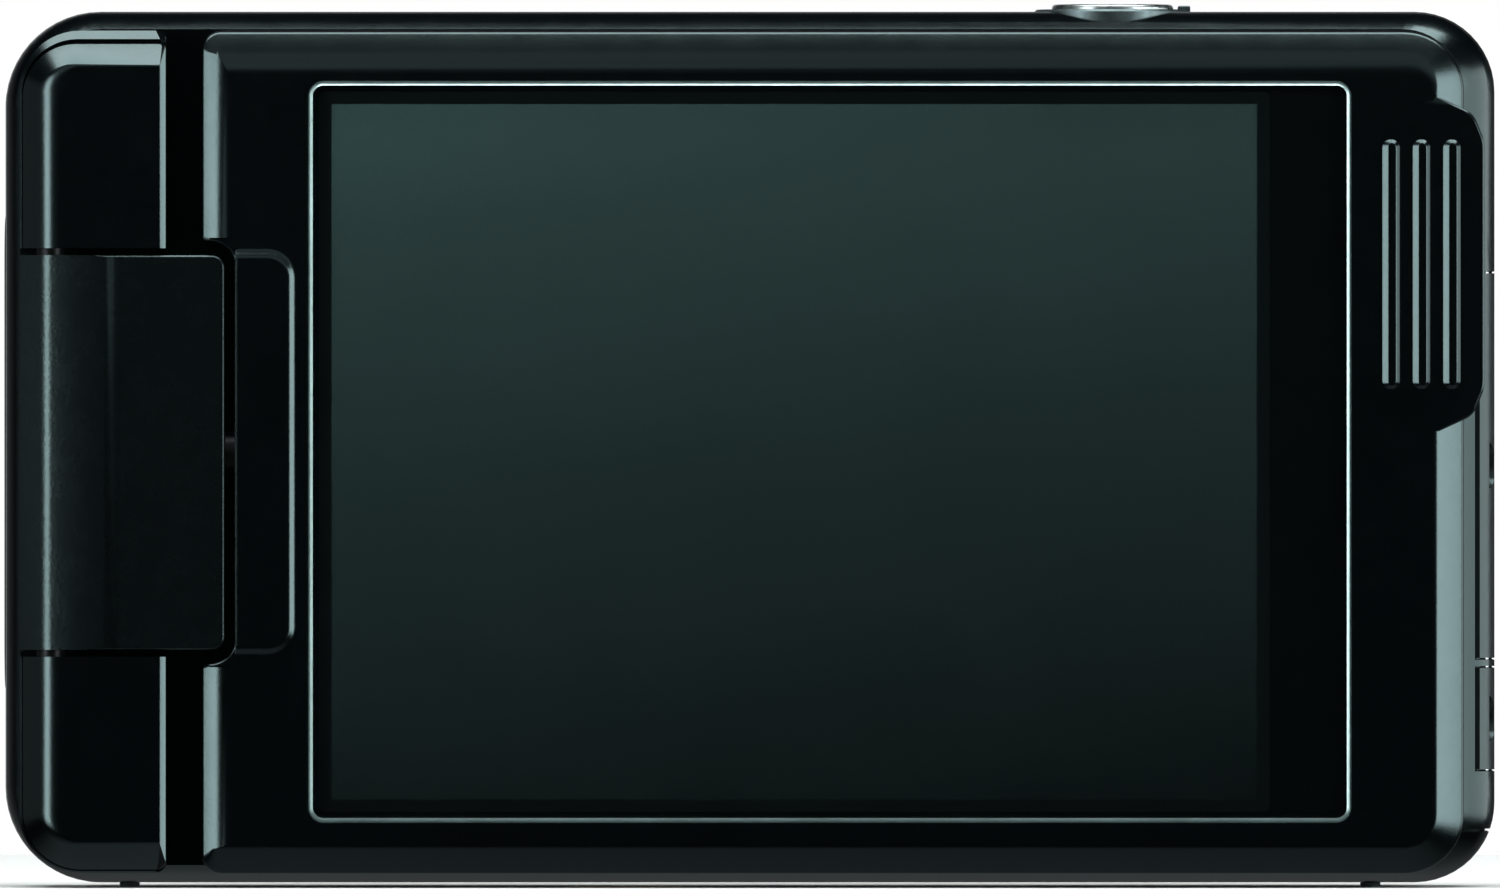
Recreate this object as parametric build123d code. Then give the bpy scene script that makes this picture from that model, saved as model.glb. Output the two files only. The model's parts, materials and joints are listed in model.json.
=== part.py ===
from build123d import *
import os

os.makedirs("parts", exist_ok=True)

# Slim pocket camcorder standing on its feet. Millimetres, +Z up, +Y out of the lens,
# the display towards -Y. X is centred on the casing and Y on the whole thickness.

# ---------------------------------------------------------------- driving dimensions
# casing
casing_width = 96.8
casing_height = 56.6
casing_depth = 13.85
foot_height = 0.3
wall = 1.1
corner_left = 6.2
corner_right = 5.2
front_edge_radius = 2.6
rear_edge_depth = 2.55
rear_inset_left = 1.0
rear_inset_right = 2.1
rear_inset_upright = 1.15
seam_depth = 2.0
front_y = 9.1
# display panel
panel_depth = 4.15
panel_gap = 0.35
panel_split = 1.6
panel_wall = 1.2
panel_margin_bottom = 0.6
panel_margin_top = 1.3
panel_margin_right = 2.1
panel_corner = 3.9
panel_corner_left = 1.6
panel_edge_radius = 1.5
raised = 0.25
# window and screen
window_margin_left = 6.9
window_margin_right = 7.3
window_margin_top = 3.25
window_margin_bottom = 3.35
window_corner = 1.0
window_thickness = 0.9
window_chamfer = 0.3
screen_border_left = 1.5
screen_border_right = 6.1
screen_border_upright = 1.5
screen_thickness = 1.2
backlight_thickness = 0.7
# finger tab and ribs
tab_reach = 1.35
tab_height = 21.9
tab_offset = 12.2
tab_thickness = 2.2
tab_slant = 1.45
tab_slant_run = 3.35
tab_corner = 1.8
tab_edge_radius = 0.3
tab_overlap = 4.3
rib_width = 1.1
rib_pitch = 1.97
rib_length = 16.2
rib_count = 3
rib_from_tab = 1.6
boss_width = 4.1
boss_rim = 0.85
boss_corner = 2.2
# hinge
pillar_margin_left = 0.95
pillar_width = 9.6
pillar_edge_radius = 2.0
pillar_corner = 4.0
pillar_screw_offset = 9.0
groove_width = 2.3
block_height = 25.6
block_length = 13.4
block_gap = 0.45
notch_gap = 0.65
shaft_radius = 0.9
shaft_overhang = 5.2
bush_radius = 1.6
bush_length = 4.0
tilt_radius = 1.3
tilt_neck_radius = 0.6
tilt_reach = 4.6
block_wall = 0.8
block_corner = 0.85
side_plate_length = 31.2
side_plate_width = 7.2
side_plate_corner = 3.4
side_plate_y = 2.3
side_plate_proud = 0.1
side_plate_sunk = 0.6
# lens
lens_from_left = 26.4
lens_from_top = 24.0
lens_ring_radius = 9.6
lens_ring_proud = 0.4
lens_barrel_radius = 7.0
barrel_wall = 1.0
element_thickness = 1.6
# battery and side sockets
battery_width = 26.0
battery_length = 37.0
battery_thickness = 6.8
tray_wall = 0.7
battery_from_right = 13.2
battery_from_front = 2.9
side_board_thickness = 0.8
# doors
door_thickness = 1.0
door_seam = 0.12
door_rear_seam = 0.3
door_front_margin = 3.4
door_rear_margin = 0.85
long_door_bottom = 14.6
long_door_height = 25.0
small_door_height = 6.6
door_rib = 0.65
pin_radius = 0.3
pin_hold = 0.9
# zoom dial
dial_from_right = 24.8
dial_from_rear = 5.95
ring_radius = 5.1
ring_bore = 4.25
ring_proud = 0.17
cap_radius = 3.95
cap_proud = 0.5
dial_depth = 2.6
dial_clearance = 0.25
cap_stem_radius = 1.25
shutter_travel = 0.5
# rear buttons
button_radius = 2.6
button_pitch = 9.0
button_x = 2.0
button_travel = 0.3
button_clearance = 0.1
# small parts
board_thickness = 1.0
chassis_thickness = 0.8
chassis_clearance = 0.2
tripod_x = -8.0
tripod_from_rear = 6.675
tripod_thread_radius = 3.175
tripod_bush_radius = 4.5
tripod_depth = 6.5
foot_radius = 0.6
foot_inset = 8.0
strap_bottom = 40.1
strap_height = 7.0
strap_width = 5.0
strap_depth = 3.1
strap_bar_radius = 0.55
strap_bar_hold = 0.35
speaker_radius = 4.5
speaker_hole_radius = 0.45
speaker_hole_pitch = 2.2
screw_radius = 0.6
screw_head_radius = 1.1
screw_head_height = 0.6
screw_slot_depth = 0.25
screw_slot_width = 0.24
latch_travel = 1.5
# fits
running = 0.04
seated = 0.05
drop_in = 0.15

# ---------------------------------------------------------------- places worked out from them
left = -casing_width / 2
right = casing_width / 2
bottom = foot_height
top = foot_height + casing_height
rear_y = front_y - casing_depth
inner_rear = rear_y + wall
inner_front = front_y - wall
seam_y = rear_y + seam_depth
panel_back_y = rear_y - panel_gap
panel_face_y = panel_back_y - panel_depth
pillar_left = left + pillar_margin_left
pillar_right = pillar_left + pillar_width
panel_left = pillar_right + groove_width
panel_right = right - panel_margin_right
panel_bottom = bottom + panel_margin_bottom
panel_top = top - panel_margin_top
hinge_z = (panel_bottom + panel_top) / 2
swing_y = (panel_face_y + panel_back_y) / 2
block_radius = (panel_back_y - panel_face_y) / 2
swing_x = pillar_left + block_radius
block_right = pillar_left + block_length
notch_x = block_right + notch_gap
block_bottom = hinge_z - block_height / 2
block_top = hinge_z + block_height / 2
window_left = panel_left + window_margin_left
window_right = panel_right - window_margin_right
window_bottom = panel_bottom + window_margin_bottom
window_top = panel_top - window_margin_top
split_y = panel_back_y - panel_split
lens_x = left + lens_from_left
lens_z = top - lens_from_top
battery_right = right - battery_from_right
battery_left = battery_right - battery_width
battery_front = front_y - battery_from_front
battery_rear = battery_front - battery_thickness
tray_left = battery_left - drop_in - tray_wall
tray_right = battery_right + drop_in + tray_wall
tray_front = battery_front + drop_in + tray_wall
tray_rear = battery_rear - drop_in - tray_wall
chassis_y0 = inner_rear + chassis_clearance
chassis_y1 = chassis_y0 + chassis_thickness
dial_x = right - dial_from_right
dial_y = rear_y + dial_from_rear
dial_floor = top + ring_proud - dial_depth
door_axis_x = right - door_thickness / 2
door_axis_y = front_y - door_front_margin
door_rear_y = rear_y + door_rear_margin
long_bottom = bottom + long_door_bottom
long_top = long_bottom + long_door_height
small_top = long_bottom - door_rib
small_bottom = small_top - small_door_height
strap_z0 = bottom + strap_bottom
strap_z1 = strap_z0 + strap_height
strap_y = (front_y + rear_y) / 2 - 0.6
board_y0 = chassis_y1 + 3.6
board_y1 = board_y0 + board_thickness
board_left = lens_x + lens_barrel_radius + 5.0
board_right = tray_left - 1.0
board_bottom = bottom + tripod_depth + 3.2
board_top = top - 6.0
far = 200.0


# ---------------------------------------------------------------- shape helpers
def block(x0, x1, y0, y1, z0, z1):
    """Box between two opposite corners."""
    return Pos((x0 + x1) / 2, (y0 + y1) / 2, (z0 + z1) / 2) * Box(x1 - x0, y1 - y0, z1 - z0)


def rod(axis, radius, start, end, a, b):
    """Cylinder along an axis; a and b are its two other coordinates in X, Y, Z order."""
    middle = (start + end) / 2
    length = end - start
    if axis == "x":
        return Pos(middle, a, b) * Rot(0, 90, 0) * Cylinder(radius, length)
    if axis == "y":
        return Pos(a, middle, b) * Rot(90, 0, 0) * Cylinder(radius, length)
    return Pos(a, b, middle) * Cylinder(radius, length)


def upright(y):
    """Plane facing -Y at a depth, drawn on in X and Z."""
    return Plane(origin=(0, y, 0), x_dir=(1, 0, 0), z_dir=(0, -1, 0))


def outline(x0, x1, z0, z1, radius_left, radius_right):
    """Rectangle in X and Z with its left and right pairs of corners rounded."""
    shape = Pos((x0 + x1) / 2, (z0 + z1) / 2) * Rectangle(x1 - x0, z1 - z0)
    if radius_left > 0:
        shape = fillet([v for v in shape.vertices() if abs(v.X - x0) < 1e-6], radius_left)
    if radius_right > 0:
        shape = fillet([v for v in shape.vertices() if abs(v.X - x1) < 1e-6], radius_right)
    return shape


def slab(shape, y0, y1):
    """Outline drawn in X and Z, extruded from y0 to y1."""
    return extrude(upright(y1) * shape, amount=y1 - y0)


def rear_edges(shape, y):
    """Edges that lie wholly in the plane at this depth."""
    return [e for e in shape.edges() if abs(e.bounding_box().min.Y - y) < 1e-4
            and abs(e.bounding_box().max.Y - y) < 1e-4]


def casing(skin):
    """Solid of the casing's outside, drawn in by skin on every side."""
    loops = []
    curve = ((0.0, 1.0), (0.42, 0.37), (1.0, 0.0))
    for depth, share in curve:
        y = rear_y + skin + depth * (rear_edge_depth - 0.3 * skin)
        gap_left = rear_inset_left * share + skin
        gap_right = rear_inset_right * share + skin
        gap_upright = rear_inset_upright * share + skin
        loops.append(upright(y) * outline(left + gap_left, right - gap_right,
                                          bottom + gap_upright, top - gap_upright,
                                          corner_left - gap_left, corner_right - gap_right * 0.6))
    start = rear_y + skin + rear_edge_depth - 0.3 * skin
    straight = slab(outline(left + skin, right - skin, bottom + skin, top - skin,
                            corner_left - skin, corner_right - skin * 0.6), start, front_y - skin)
    straight = fillet(rear_edges(straight, front_y - skin), front_edge_radius - skin)
    return loft(loops) + straight


def screws(axis, places, head_at, tip, heading):
    """Group of cheese-head screws: places are the two other coordinates of each."""
    group = []
    for a, b in places:
        head_end = head_at + heading * screw_head_height
        head = rod(axis, screw_head_radius, min(head_at, head_end), max(head_at, head_end), a, b)
        shank = rod(axis, screw_radius, min(head_end, tip), max(head_end, tip), a, b)
        y0, y1 = head_at - screw_slot_depth, head_at + screw_slot_depth
        b0, b1 = b - screw_slot_width / 2, b + screw_slot_width / 2
        groove = {"y": block(a - 0.8, a + 0.8, y0, y1, b0, b1),
                  "z": block(a - 0.8, a + 0.8, b0, b1, y0, y1)}
        group.append(head + shank - groove[axis])
    return group


def screw_holes(axis, places, head_at, tip, heading):
    """Counterbored clearance for the same screws."""
    holes = None
    for a, b in places:
        head_end = head_at + heading * (screw_head_height + seated)
        out = head_at - heading * 2.0
        cut = rod(axis, screw_head_radius + seated, min(out, head_end), max(out, head_end), a, b)
        cut += rod(axis, screw_radius + seated, min(head_end, tip + heading * 0.3),
                   max(head_end, tip + heading * 0.3), a, b)
        holes = cut if holes is None else holes + cut
    return holes


parts = {}


def keep(name, shape):
    """Store one finished sub-part, given as one shape or a list of separate ones."""
    if isinstance(shape, list):
        shape = Compound(children=[s if isinstance(s, Solid) else s.solids()[0] for s in shape])
    parts[name] = shape


# ---------------------------------------------------------------- casing shells
outside = casing(0.0)
inside = casing(wall)
skin_inside = casing(door_thickness)
feet_places = [(x, y) for x in (left + foot_inset, right - foot_inset)
               for y in (rear_y + rear_edge_depth + 0.9, front_y - front_edge_radius - 0.7)]
case_screw_y = (front_y + rear_y) / 2
case_screw_places = [(x, case_screw_y) for x in (left + foot_inset + 5.0, lens_x + 1.0, right - foot_inset)]
button_places = [(button_x, hinge_z + step * button_pitch) for step in (1, 0, -1)]


def side_plate_outline(grow):
    """Rounded plate in Y and Z on the left wall, behind the hinge."""
    shape = Rectangle(side_plate_width + 2 * grow, side_plate_length + 2 * grow)
    shape = fillet(shape.vertices(), side_plate_corner)
    corner = (left + side_plate_sunk, side_plate_y, hinge_z)
    return Plane(origin=corner, x_dir=(0, 1, 0), z_dir=(-1, 0, 0)) * shape


side_plate = extrude(side_plate_outline(0.0), amount=side_plate_sunk + side_plate_proud)
side_plate_face = left - side_plate_proud
side_plate = fillet([e for e in side_plate.edges() if abs(e.center().X - side_plate_face) < 1e-4], 0.35)
side_pocket = extrude(side_plate_outline(seated), amount=2.0)


def side_door(z0, z1):
    """Skin of the right-hand wall between two heights, with its hinge edge at the front."""
    blank = block(right - 4.0, right + 1.0, door_rear_y, door_axis_y, z0, z1)
    reach = door_axis_y - door_rear_y + door_seam
    leaf = (outside - skin_inside) & blank & rod("z", reach, z0, z1, door_axis_x, door_axis_y)
    leaf += rod("z", door_thickness / 2, z0, z1, door_axis_x, door_axis_y)
    leaf -= rod("z", pin_radius + running, z0 - 1, z1 + 1, door_axis_x, door_axis_y)
    nail_notch = rod("x", 1.6, right - 0.35, right + 2.0, door_rear_y + 0.3, (z0 + z1) / 2)
    return leaf - nail_notch


def side_opening(z0, z1):
    """Opening in the wall that the side door closes."""
    clear = block(right - 4.5, right + 1.0, door_rear_y - door_rear_seam, door_axis_y,
                  z0 - door_seam, z1 + door_seam)
    clear += block(door_axis_x, right + 1.0, door_axis_y - 1, door_axis_y + door_thickness / 2 + door_seam,
                   z0 - door_seam, z1 + door_seam)
    return clear + rod("z", door_thickness / 2 + door_seam, z0 - door_seam, z1 + door_seam,
                       door_axis_x, door_axis_y)


battery_door_x0 = battery_left - 1.5
battery_door_x1 = battery_right + 0.6
battery_door_y0 = battery_rear - 0.25
battery_door_y1 = battery_front + 0.25
battery_axis_x = battery_door_x0 + door_thickness / 2
battery_axis_z = bottom + door_thickness / 2
door_floor = bottom + door_thickness


def battery_opening():
    """Opening in the floor that the battery goes through and its door closes."""
    clear = block(battery_axis_x, battery_door_x1 + door_seam, battery_door_y0 - door_seam,
                  battery_door_y1 + door_seam, bottom - 1, bottom + wall + 0.6)
    clear += block(battery_axis_x - door_thickness / 2 - door_seam, battery_axis_x + 1,
                   battery_door_y0 - door_seam, battery_door_y1 + door_seam, bottom - 1, battery_axis_z)
    return clear + rod("y", door_thickness / 2 + door_seam, battery_door_y0 - door_seam,
                       battery_door_y1 + door_seam, battery_axis_x, battery_axis_z)


dial_hole = rod("z", ring_radius + dial_clearance, dial_floor - 0.1, top + 5, dial_x, dial_y)
strap_pocket = block(right - strap_depth, right + 1, strap_y - strap_width / 2, strap_y + strap_width / 2,
                     strap_z0, strap_z1)
strap_cup = block(right - strap_depth - 0.9, right - wall / 2, strap_y - strap_width / 2 - 0.9,
                  strap_y + strap_width / 2 + 0.9, strap_z0 - 0.9, strap_z1 + 0.9)
strap_bar_x = right - strap_bar_radius - 0.02
door_pin_z0 = small_bottom - pin_hold
door_pin_z1 = long_top + pin_hold
shell = outside - inside
shell += strap_cup & outside
shell -= strap_pocket
strap_bar_z0 = strap_z0 - strap_bar_hold
strap_bar_z1 = strap_z1 + strap_bar_hold
shell -= rod("z", strap_bar_radius, strap_bar_z0, strap_bar_z1, strap_bar_x, strap_y)
shell -= side_opening(long_bottom, long_top)
shell -= side_opening(small_bottom, small_top)
shell -= rod("z", pin_radius, door_pin_z0, door_pin_z1, door_axis_x, door_axis_y)
shell -= battery_opening()
shell -= rod("y", pin_radius, battery_door_y0 - pin_hold, battery_door_y1 + pin_hold,
             battery_axis_x, battery_axis_z)
shell -= dial_hole
shell -= side_pocket
for foot_x, foot_y in feet_places:
    shell -= rod("z", foot_radius, bottom - 1, bottom + 0.7, foot_x, foot_y)

# seam mark of the floor moulding on the right-hand wall
seam_mark = block(right - 3.0, right + 1.0, rear_y - 1, front_y + 1, bottom + 3.3, bottom + 3.5)
seam_mark -= casing(0.25)

front_cuts = rod("y", lens_ring_radius - 1.0, inner_front - 1, front_y + 1, lens_x, lens_z)
front_cuts += rod("y", lens_ring_radius + seated, front_y - 0.6, front_y + 1, lens_x, lens_z)
lamp_x = lens_x + lens_ring_radius + 5.0
lamp_z = lens_z + 9.5
lamp_radius = 2.2
front_cuts += rod("y", lamp_radius + seated, inner_front - 1, front_y + 1, lamp_x, lamp_z)
microphone_places = [(lens_x + shift, top - 6.6) for shift in (-6.0, 6.0)]
for mic_x, mic_z in microphone_places:
    for step in (-1, 0, 1):
        front_cuts += rod("y", 0.4, inner_front - 1, front_y + 1, mic_x + step * 1.3, mic_z)
tripod_y = rear_y + tripod_from_rear
front_cuts += rod("z", tripod_bush_radius - 0.8, bottom - 1, bottom + wall + 1, tripod_x, tripod_y)

rear_cuts = None
for hole_x, hole_z in button_places:
    cut = rod("y", button_radius + button_clearance, rear_y - 1, inner_rear + 1, hole_x, hole_z)
    rear_cuts = cut if rear_cuts is None else rear_cuts + cut
speaker_x = lens_x - 2.0
speaker_z = bottom + 12.5
for step_x in (-1, 0, 1):
    for step_z in (-1, 0, 1):
        hole_x = speaker_x + speaker_hole_pitch * step_x
        hole_z = speaker_z + speaker_hole_pitch * step_z
        rear_cuts += rod("y", speaker_hole_radius, rear_y - 1, inner_rear + 1, hole_x, hole_z)
tower_screw_x = pillar_right - 2.2
tower_screw_places = [(tower_screw_x, block_top + pillar_screw_offset),
                      (tower_screw_x, block_bottom - pillar_screw_offset)]
tower_screw_head = inner_rear + screw_head_height
rear_cuts += screw_holes("y", tower_screw_places, tower_screw_head, panel_face_y + 1.8, -1)

floor_screw_tip = bottom + 5.0
front_cuts += screw_holes("z", case_screw_places, bottom, floor_screw_tip, 1)
keep("front_shell", (shell & block(-far, far, seam_y, far, -far, far)) - front_cuts - seam_mark)
keep("rear_shell", (shell & block(-far, far, -far, seam_y, -far, far)) - rear_cuts - seam_mark)
keep("hinge_side_plate", side_plate)
keep("case_screws", screws("z", case_screw_places, bottom, floor_screw_tip, 1))
keep("feet", [rod("z", foot_radius, 0.0, bottom + 0.7, x, y) for x, y in feet_places])
keep("strap_bar", rod("z", strap_bar_radius, strap_bar_z0, strap_bar_z1, strap_bar_x, strap_y))

# ---------------------------------------------------------------- hinge towers and swing shaft
shaft_z0 = block_bottom - shaft_overhang
shaft_z1 = block_top + shaft_overhang


def tower(z0, z1, notch_z, outward):
    """Raised hinge cover above or below the block; notch_z is its end beside the block."""
    shape = Pos((pillar_left + pillar_right) / 2, (z0 + z1) / 2) * Rectangle(pillar_width, z1 - z0)
    outer_z = z1 if outward > 0 else z0
    shape = fillet([v for v in shape.vertices() if abs(v.X - pillar_left) < 1e-6
                    and abs(v.Y - outer_z) < 1e-6], pillar_corner)
    body = slab(shape, panel_face_y, rear_y)
    rim = [e for e in rear_edges(body, panel_face_y) if abs(e.center().X - pillar_right) > 0.5
           and abs(e.center().Z - notch_z) > 0.5]
    body = fillet(rim, pillar_edge_radius)
    pocket_z0 = notch_z + outward * panel_wall
    pocket_z1 = outer_z - outward * (pillar_edge_radius + 0.4)
    pocket = block(pillar_left + panel_wall + 0.3, pillar_right - panel_wall, panel_face_y + panel_wall + 0.3,
                   rear_y, min(pocket_z0, pocket_z1), max(pocket_z0, pocket_z1))
    boss_end = notch_z + outward * (bush_length + 1.4)
    boss = rod("z", bush_radius + 0.5, min(notch_z, boss_end), max(notch_z, boss_end), swing_x, swing_y)
    boss += block(swing_x - 1.2, swing_x + 1.2, panel_face_y + 0.5, swing_y, min(notch_z, boss_end),
                  max(notch_z, boss_end))
    screw_z = block_top + pillar_screw_offset if outward > 0 else block_bottom - pillar_screw_offset
    post = rod("y", 1.5, panel_face_y + 0.4, rear_y, tower_screw_x, screw_z)
    body = body - pocket + (boss & body) + post
    bush_end = notch_z + outward * bush_length
    shaft_end = notch_z + outward * (shaft_overhang - block_gap + 0.3)
    body -= rod("z", bush_radius, min(notch_z - outward, bush_end), max(notch_z - outward, bush_end),
                swing_x, swing_y)
    body -= rod("z", shaft_radius + 0.15, min(notch_z, shaft_end), max(notch_z, shaft_end), swing_x, swing_y)
    return body - screw_holes("y", [(tower_screw_x, screw_z)], tower_screw_head, panel_face_y + 1.8, -1)


tower_top = panel_top - 0.4
tower_bottom = panel_bottom + 0.1
upper_notch = block_top + block_gap
lower_notch = block_bottom - block_gap
keep("hinge_cover_upper", tower(upper_notch, tower_top, upper_notch, 1))
keep("hinge_cover_lower", tower(tower_bottom, lower_notch, lower_notch, -1))
keep("hinge_cover_screws", screws("y", tower_screw_places, tower_screw_head, panel_face_y + 1.8, -1))
bushes = []
for notch_z, outward in ((upper_notch, 1), (lower_notch, -1)):
    end = notch_z + outward * bush_length
    tube = rod("z", bush_radius, min(notch_z, end), max(notch_z, end), swing_x, swing_y)
    bushes.append(tube - rod("z", shaft_radius + running, -far, far, swing_x, swing_y))
keep("hinge_bushes", bushes)
keep("swing_shaft", rod("z", shaft_radius, shaft_z0, shaft_z1, swing_x, swing_y))


def block_solid(skin):
    """Hinge block drawn in by skin: a plate whose left end is rounded about the swing axis."""
    shape = outline(swing_x, block_right - skin, block_bottom + skin, block_top - skin,
                    0, block_corner - skin / 2)
    body = slab(shape, panel_face_y + skin, panel_back_y - skin)
    return body + rod("z", block_radius - skin, block_bottom + skin, block_top - skin, swing_x, swing_y)


block_shell = block_solid(0.0) - block_solid(block_wall)
block_shell -= rod("z", shaft_radius, -far, far, swing_x, swing_y)
block_shell -= rod("x", tilt_radius + seated, block_right - 3, block_right + 3, swing_y, hinge_z)
keep("hinge_block_rear", block_shell & block(-far, far, -far, swing_y, -far, far))
keep("hinge_block_front", block_shell & block(-far, far, swing_y, far, -far, far))

# steel frame inside the block: knuckles on the swing shaft and an ear for the tilt shaft
ear_x1 = block_right - block_wall - 0.1
frame_z = 8.0
ear_thickness = 1.4
plate_half = 0.45
frame = rod("z", block_radius - block_wall - 0.1, hinge_z - frame_z, hinge_z + frame_z, swing_x, swing_y)
frame += block(swing_x, ear_x1, swing_y - plate_half, swing_y + plate_half,
               hinge_z - frame_z, hinge_z + frame_z)
frame -= block(swing_x + 3.0, ear_x1 - ear_thickness, -far, far, hinge_z - 2.2, hinge_z + 2.2)
ear_half = block_radius - block_wall - 0.1
frame += block(ear_x1 - ear_thickness, ear_x1, swing_y - ear_half, swing_y + ear_half,
               hinge_z - 3, hinge_z + 3)
frame -= rod("z", shaft_radius, -far, far, swing_x, swing_y)
frame -= rod("x", tilt_neck_radius, swing_x + 2.0, block_right + 3, swing_y, hinge_z)
keep("hinge_frame", frame)
tilt_end = notch_x + tilt_reach
tilt = rod("x", tilt_neck_radius, ear_x1 - ear_thickness - 1.2, tilt_end, swing_y, hinge_z)
tilt += rod("x", tilt_radius, ear_x1, notch_x + panel_wall, swing_y, hinge_z)
keep("tilt_shaft", tilt)
washer_radius = block_radius - block_wall - 0.2
washers = []
for place in (0, 1):
    x0 = ear_x1 - ear_thickness - 0.5 - 0.55 * place
    ring = rod("x", washer_radius, x0, x0 + 0.45, swing_y, hinge_z)
    washers.append(ring - rod("x", tilt_neck_radius + 0.02, -far, far, swing_y, hinge_z))
keep("tilt_washers", washers)

# ---------------------------------------------------------------- display panel
panel_shape = outline(panel_left, panel_right, panel_bottom, panel_top, panel_corner_left, panel_corner)
notch_half = (block_height + 2 * notch_gap + 0.5) / 2
notch_cut = outline(panel_left - 5, notch_x, hinge_z - notch_half, hinge_z + notch_half, 0, 1.2)
panel_shape = panel_shape - notch_cut
front_case = slab(panel_shape, panel_face_y, split_y)
rim = [e for e in rear_edges(front_case, panel_face_y)
       if abs(e.center().Z - hinge_z) > notch_half + 0.1 or e.center().X > notch_x + 0.1]
front_case = fillet(rim, panel_edge_radius)
tab_top = hinge_z + tab_offset + tab_height / 2
tab_bottom = tab_top - tab_height
tab_x = panel_right + tab_reach
inner_x = panel_right - tab_overlap
tab_points = [(inner_x, tab_top), (tab_x - tab_slant_run, tab_top), (tab_x, tab_top - tab_slant),
              (tab_x, tab_bottom + tab_slant), (tab_x - tab_slant_run, tab_bottom), (inner_x, tab_bottom)]
tab_shape = make_face(Polyline(*tab_points, close=True))
tab_shape = fillet([v for v in tab_shape.vertices() if v.X > tab_x - 0.1], tab_corner)
tab_solid = slab(tab_shape, panel_face_y, panel_face_y + tab_thickness)
tab_rim = [e for e in rear_edges(tab_solid, panel_face_y) if e.center().X > inner_x + 0.1]
tab_solid = fillet(tab_rim, tab_edge_radius)
front_case += tab_solid
rib_z = hinge_z + tab_offset
first_rib_x = tab_x - rib_width / 2 - rib_from_tab - (rib_count - 1) * rib_pitch
for number in range(rib_count):
    rib_x = first_rib_x + number * rib_pitch
    rib_shape = outline(rib_x - rib_width / 2, rib_x + rib_width / 2, rib_z - rib_length / 2,
                        rib_z + rib_length / 2, rib_width / 2 - 0.01, rib_width / 2 - 0.01)
    rib = slab(rib_shape, panel_face_y - raised, panel_face_y + 0.2)
    front_case += fillet(rear_edges(rib, panel_face_y - raised), raised * 0.9)
boss_right = notch_x + boss_width
boss_half = notch_half - 0.2
boss_foot = upright(panel_face_y + 0.01) * outline(notch_x, boss_right, hinge_z - boss_half,
                                                   hinge_z + boss_half, 0, boss_corner)
boss_head = upright(panel_face_y - raised) * outline(notch_x, boss_right - boss_rim,
                                                     hinge_z - boss_half + boss_rim,
                                                     hinge_z + boss_half - boss_rim, 0, boss_corner - 0.7)
front_case += loft([boss_foot, boss_head])

# hollow for the screen, seat for the glass and opening between them
glass_back = panel_face_y + window_thickness
screen_left = window_left + screen_border_left
screen_right = window_right - screen_border_right
screen_bottom = window_bottom + screen_border_upright
screen_top = window_top - screen_border_upright
hollow_left = notch_x + 2.6
ledge = 0.6
hollow = slab(outline(hollow_left, panel_right - panel_wall, panel_bottom + panel_wall, panel_top - panel_wall,
                      1.0, panel_corner - panel_wall), glass_back + ledge, split_y)
glass_seat = slab(outline(window_left - seated, window_right + seated, window_bottom - seated,
                          window_top + seated, window_corner, window_corner), panel_face_y - 1, glass_back)
sight = slab(outline(screen_left - 0.8, screen_right + 0.8, screen_bottom - 0.8, screen_top + 0.8, 0.4, 0.4),
             glass_back - 0.1, glass_back + ledge + 0.1)
tilt_bore = rod("x", tilt_radius + seated, notch_x - 1, notch_x + panel_wall + seated, swing_y, hinge_z)
tilt_bore += rod("x", tilt_neck_radius + seated, notch_x, tilt_end + 0.2, swing_y, hinge_z)
panel_screw_places = [(x, z) for x in (hollow_left + 1.5, panel_right - panel_wall - 2.0)
                      for z in (panel_bottom + panel_wall + 1.9, panel_top - panel_wall - 1.9)]
panel_screw_tip = glass_back + ledge - 0.5
posts = None
for post_x, post_z in panel_screw_places:
    post = rod("y", 1.35, glass_back, split_y, post_x, post_z)
    posts = post if posts is None else posts + post
front_case = front_case - hollow + posts - glass_seat - sight - tilt_bore
front_case -= screw_holes("y", panel_screw_places, panel_back_y, panel_screw_tip, -1)
keep("panel_front", front_case)

glass = slab(outline(window_left, window_right, window_bottom, window_top, window_corner, window_corner),
             panel_face_y, glass_back)
keep("window_glass", chamfer(rear_edges(glass, panel_face_y), window_chamfer))

screen_y0 = glass_back + 0.05
screen_y1 = screen_y0 + screen_thickness
keep("lcd_screen", block(screen_left - 0.7, screen_right + 0.7, screen_y0, screen_y1,
                         screen_bottom - 0.7, screen_top + 0.7))
keep("backlight", block(screen_left - 0.7, screen_right + 0.7, screen_y1, screen_y1 + backlight_thickness,
                        screen_bottom - 0.7, screen_top + 0.7))
back_case = slab(panel_shape, split_y, panel_back_y)
back_edges = [e for e in rear_edges(back_case, panel_back_y) if e.center().X > notch_x + 2]
back_case = fillet(back_edges, 0.8)
back_hollow = slab(outline(hollow_left, panel_right - panel_wall, panel_bottom + panel_wall,
                           panel_top - panel_wall, 1.0, panel_corner - panel_wall), split_y, panel_back_y - 0.9)
back_posts = None
for post_x, post_z in panel_screw_places:
    post = rod("y", 1.35, split_y, panel_back_y - 0.5, post_x, post_z)
    back_posts = post if back_posts is None else back_posts + post
frame_pad = block(screen_left, screen_right, screen_y1 + backlight_thickness + 0.05, panel_back_y - 0.5,
                  screen_bottom + 4, screen_bottom + 6)
frame_pad += block(screen_left, screen_right, screen_y1 + backlight_thickness + 0.05, panel_back_y - 0.5,
                   screen_top - 6, screen_top - 4)
back_case = back_case - back_hollow + back_posts + frame_pad - tilt_bore
back_case -= screw_holes("y", panel_screw_places, panel_back_y, panel_screw_tip, -1)
keep("panel_back", back_case)
keep("panel_screws", screws("y", panel_screw_places, panel_back_y, panel_screw_tip, -1))

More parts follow.
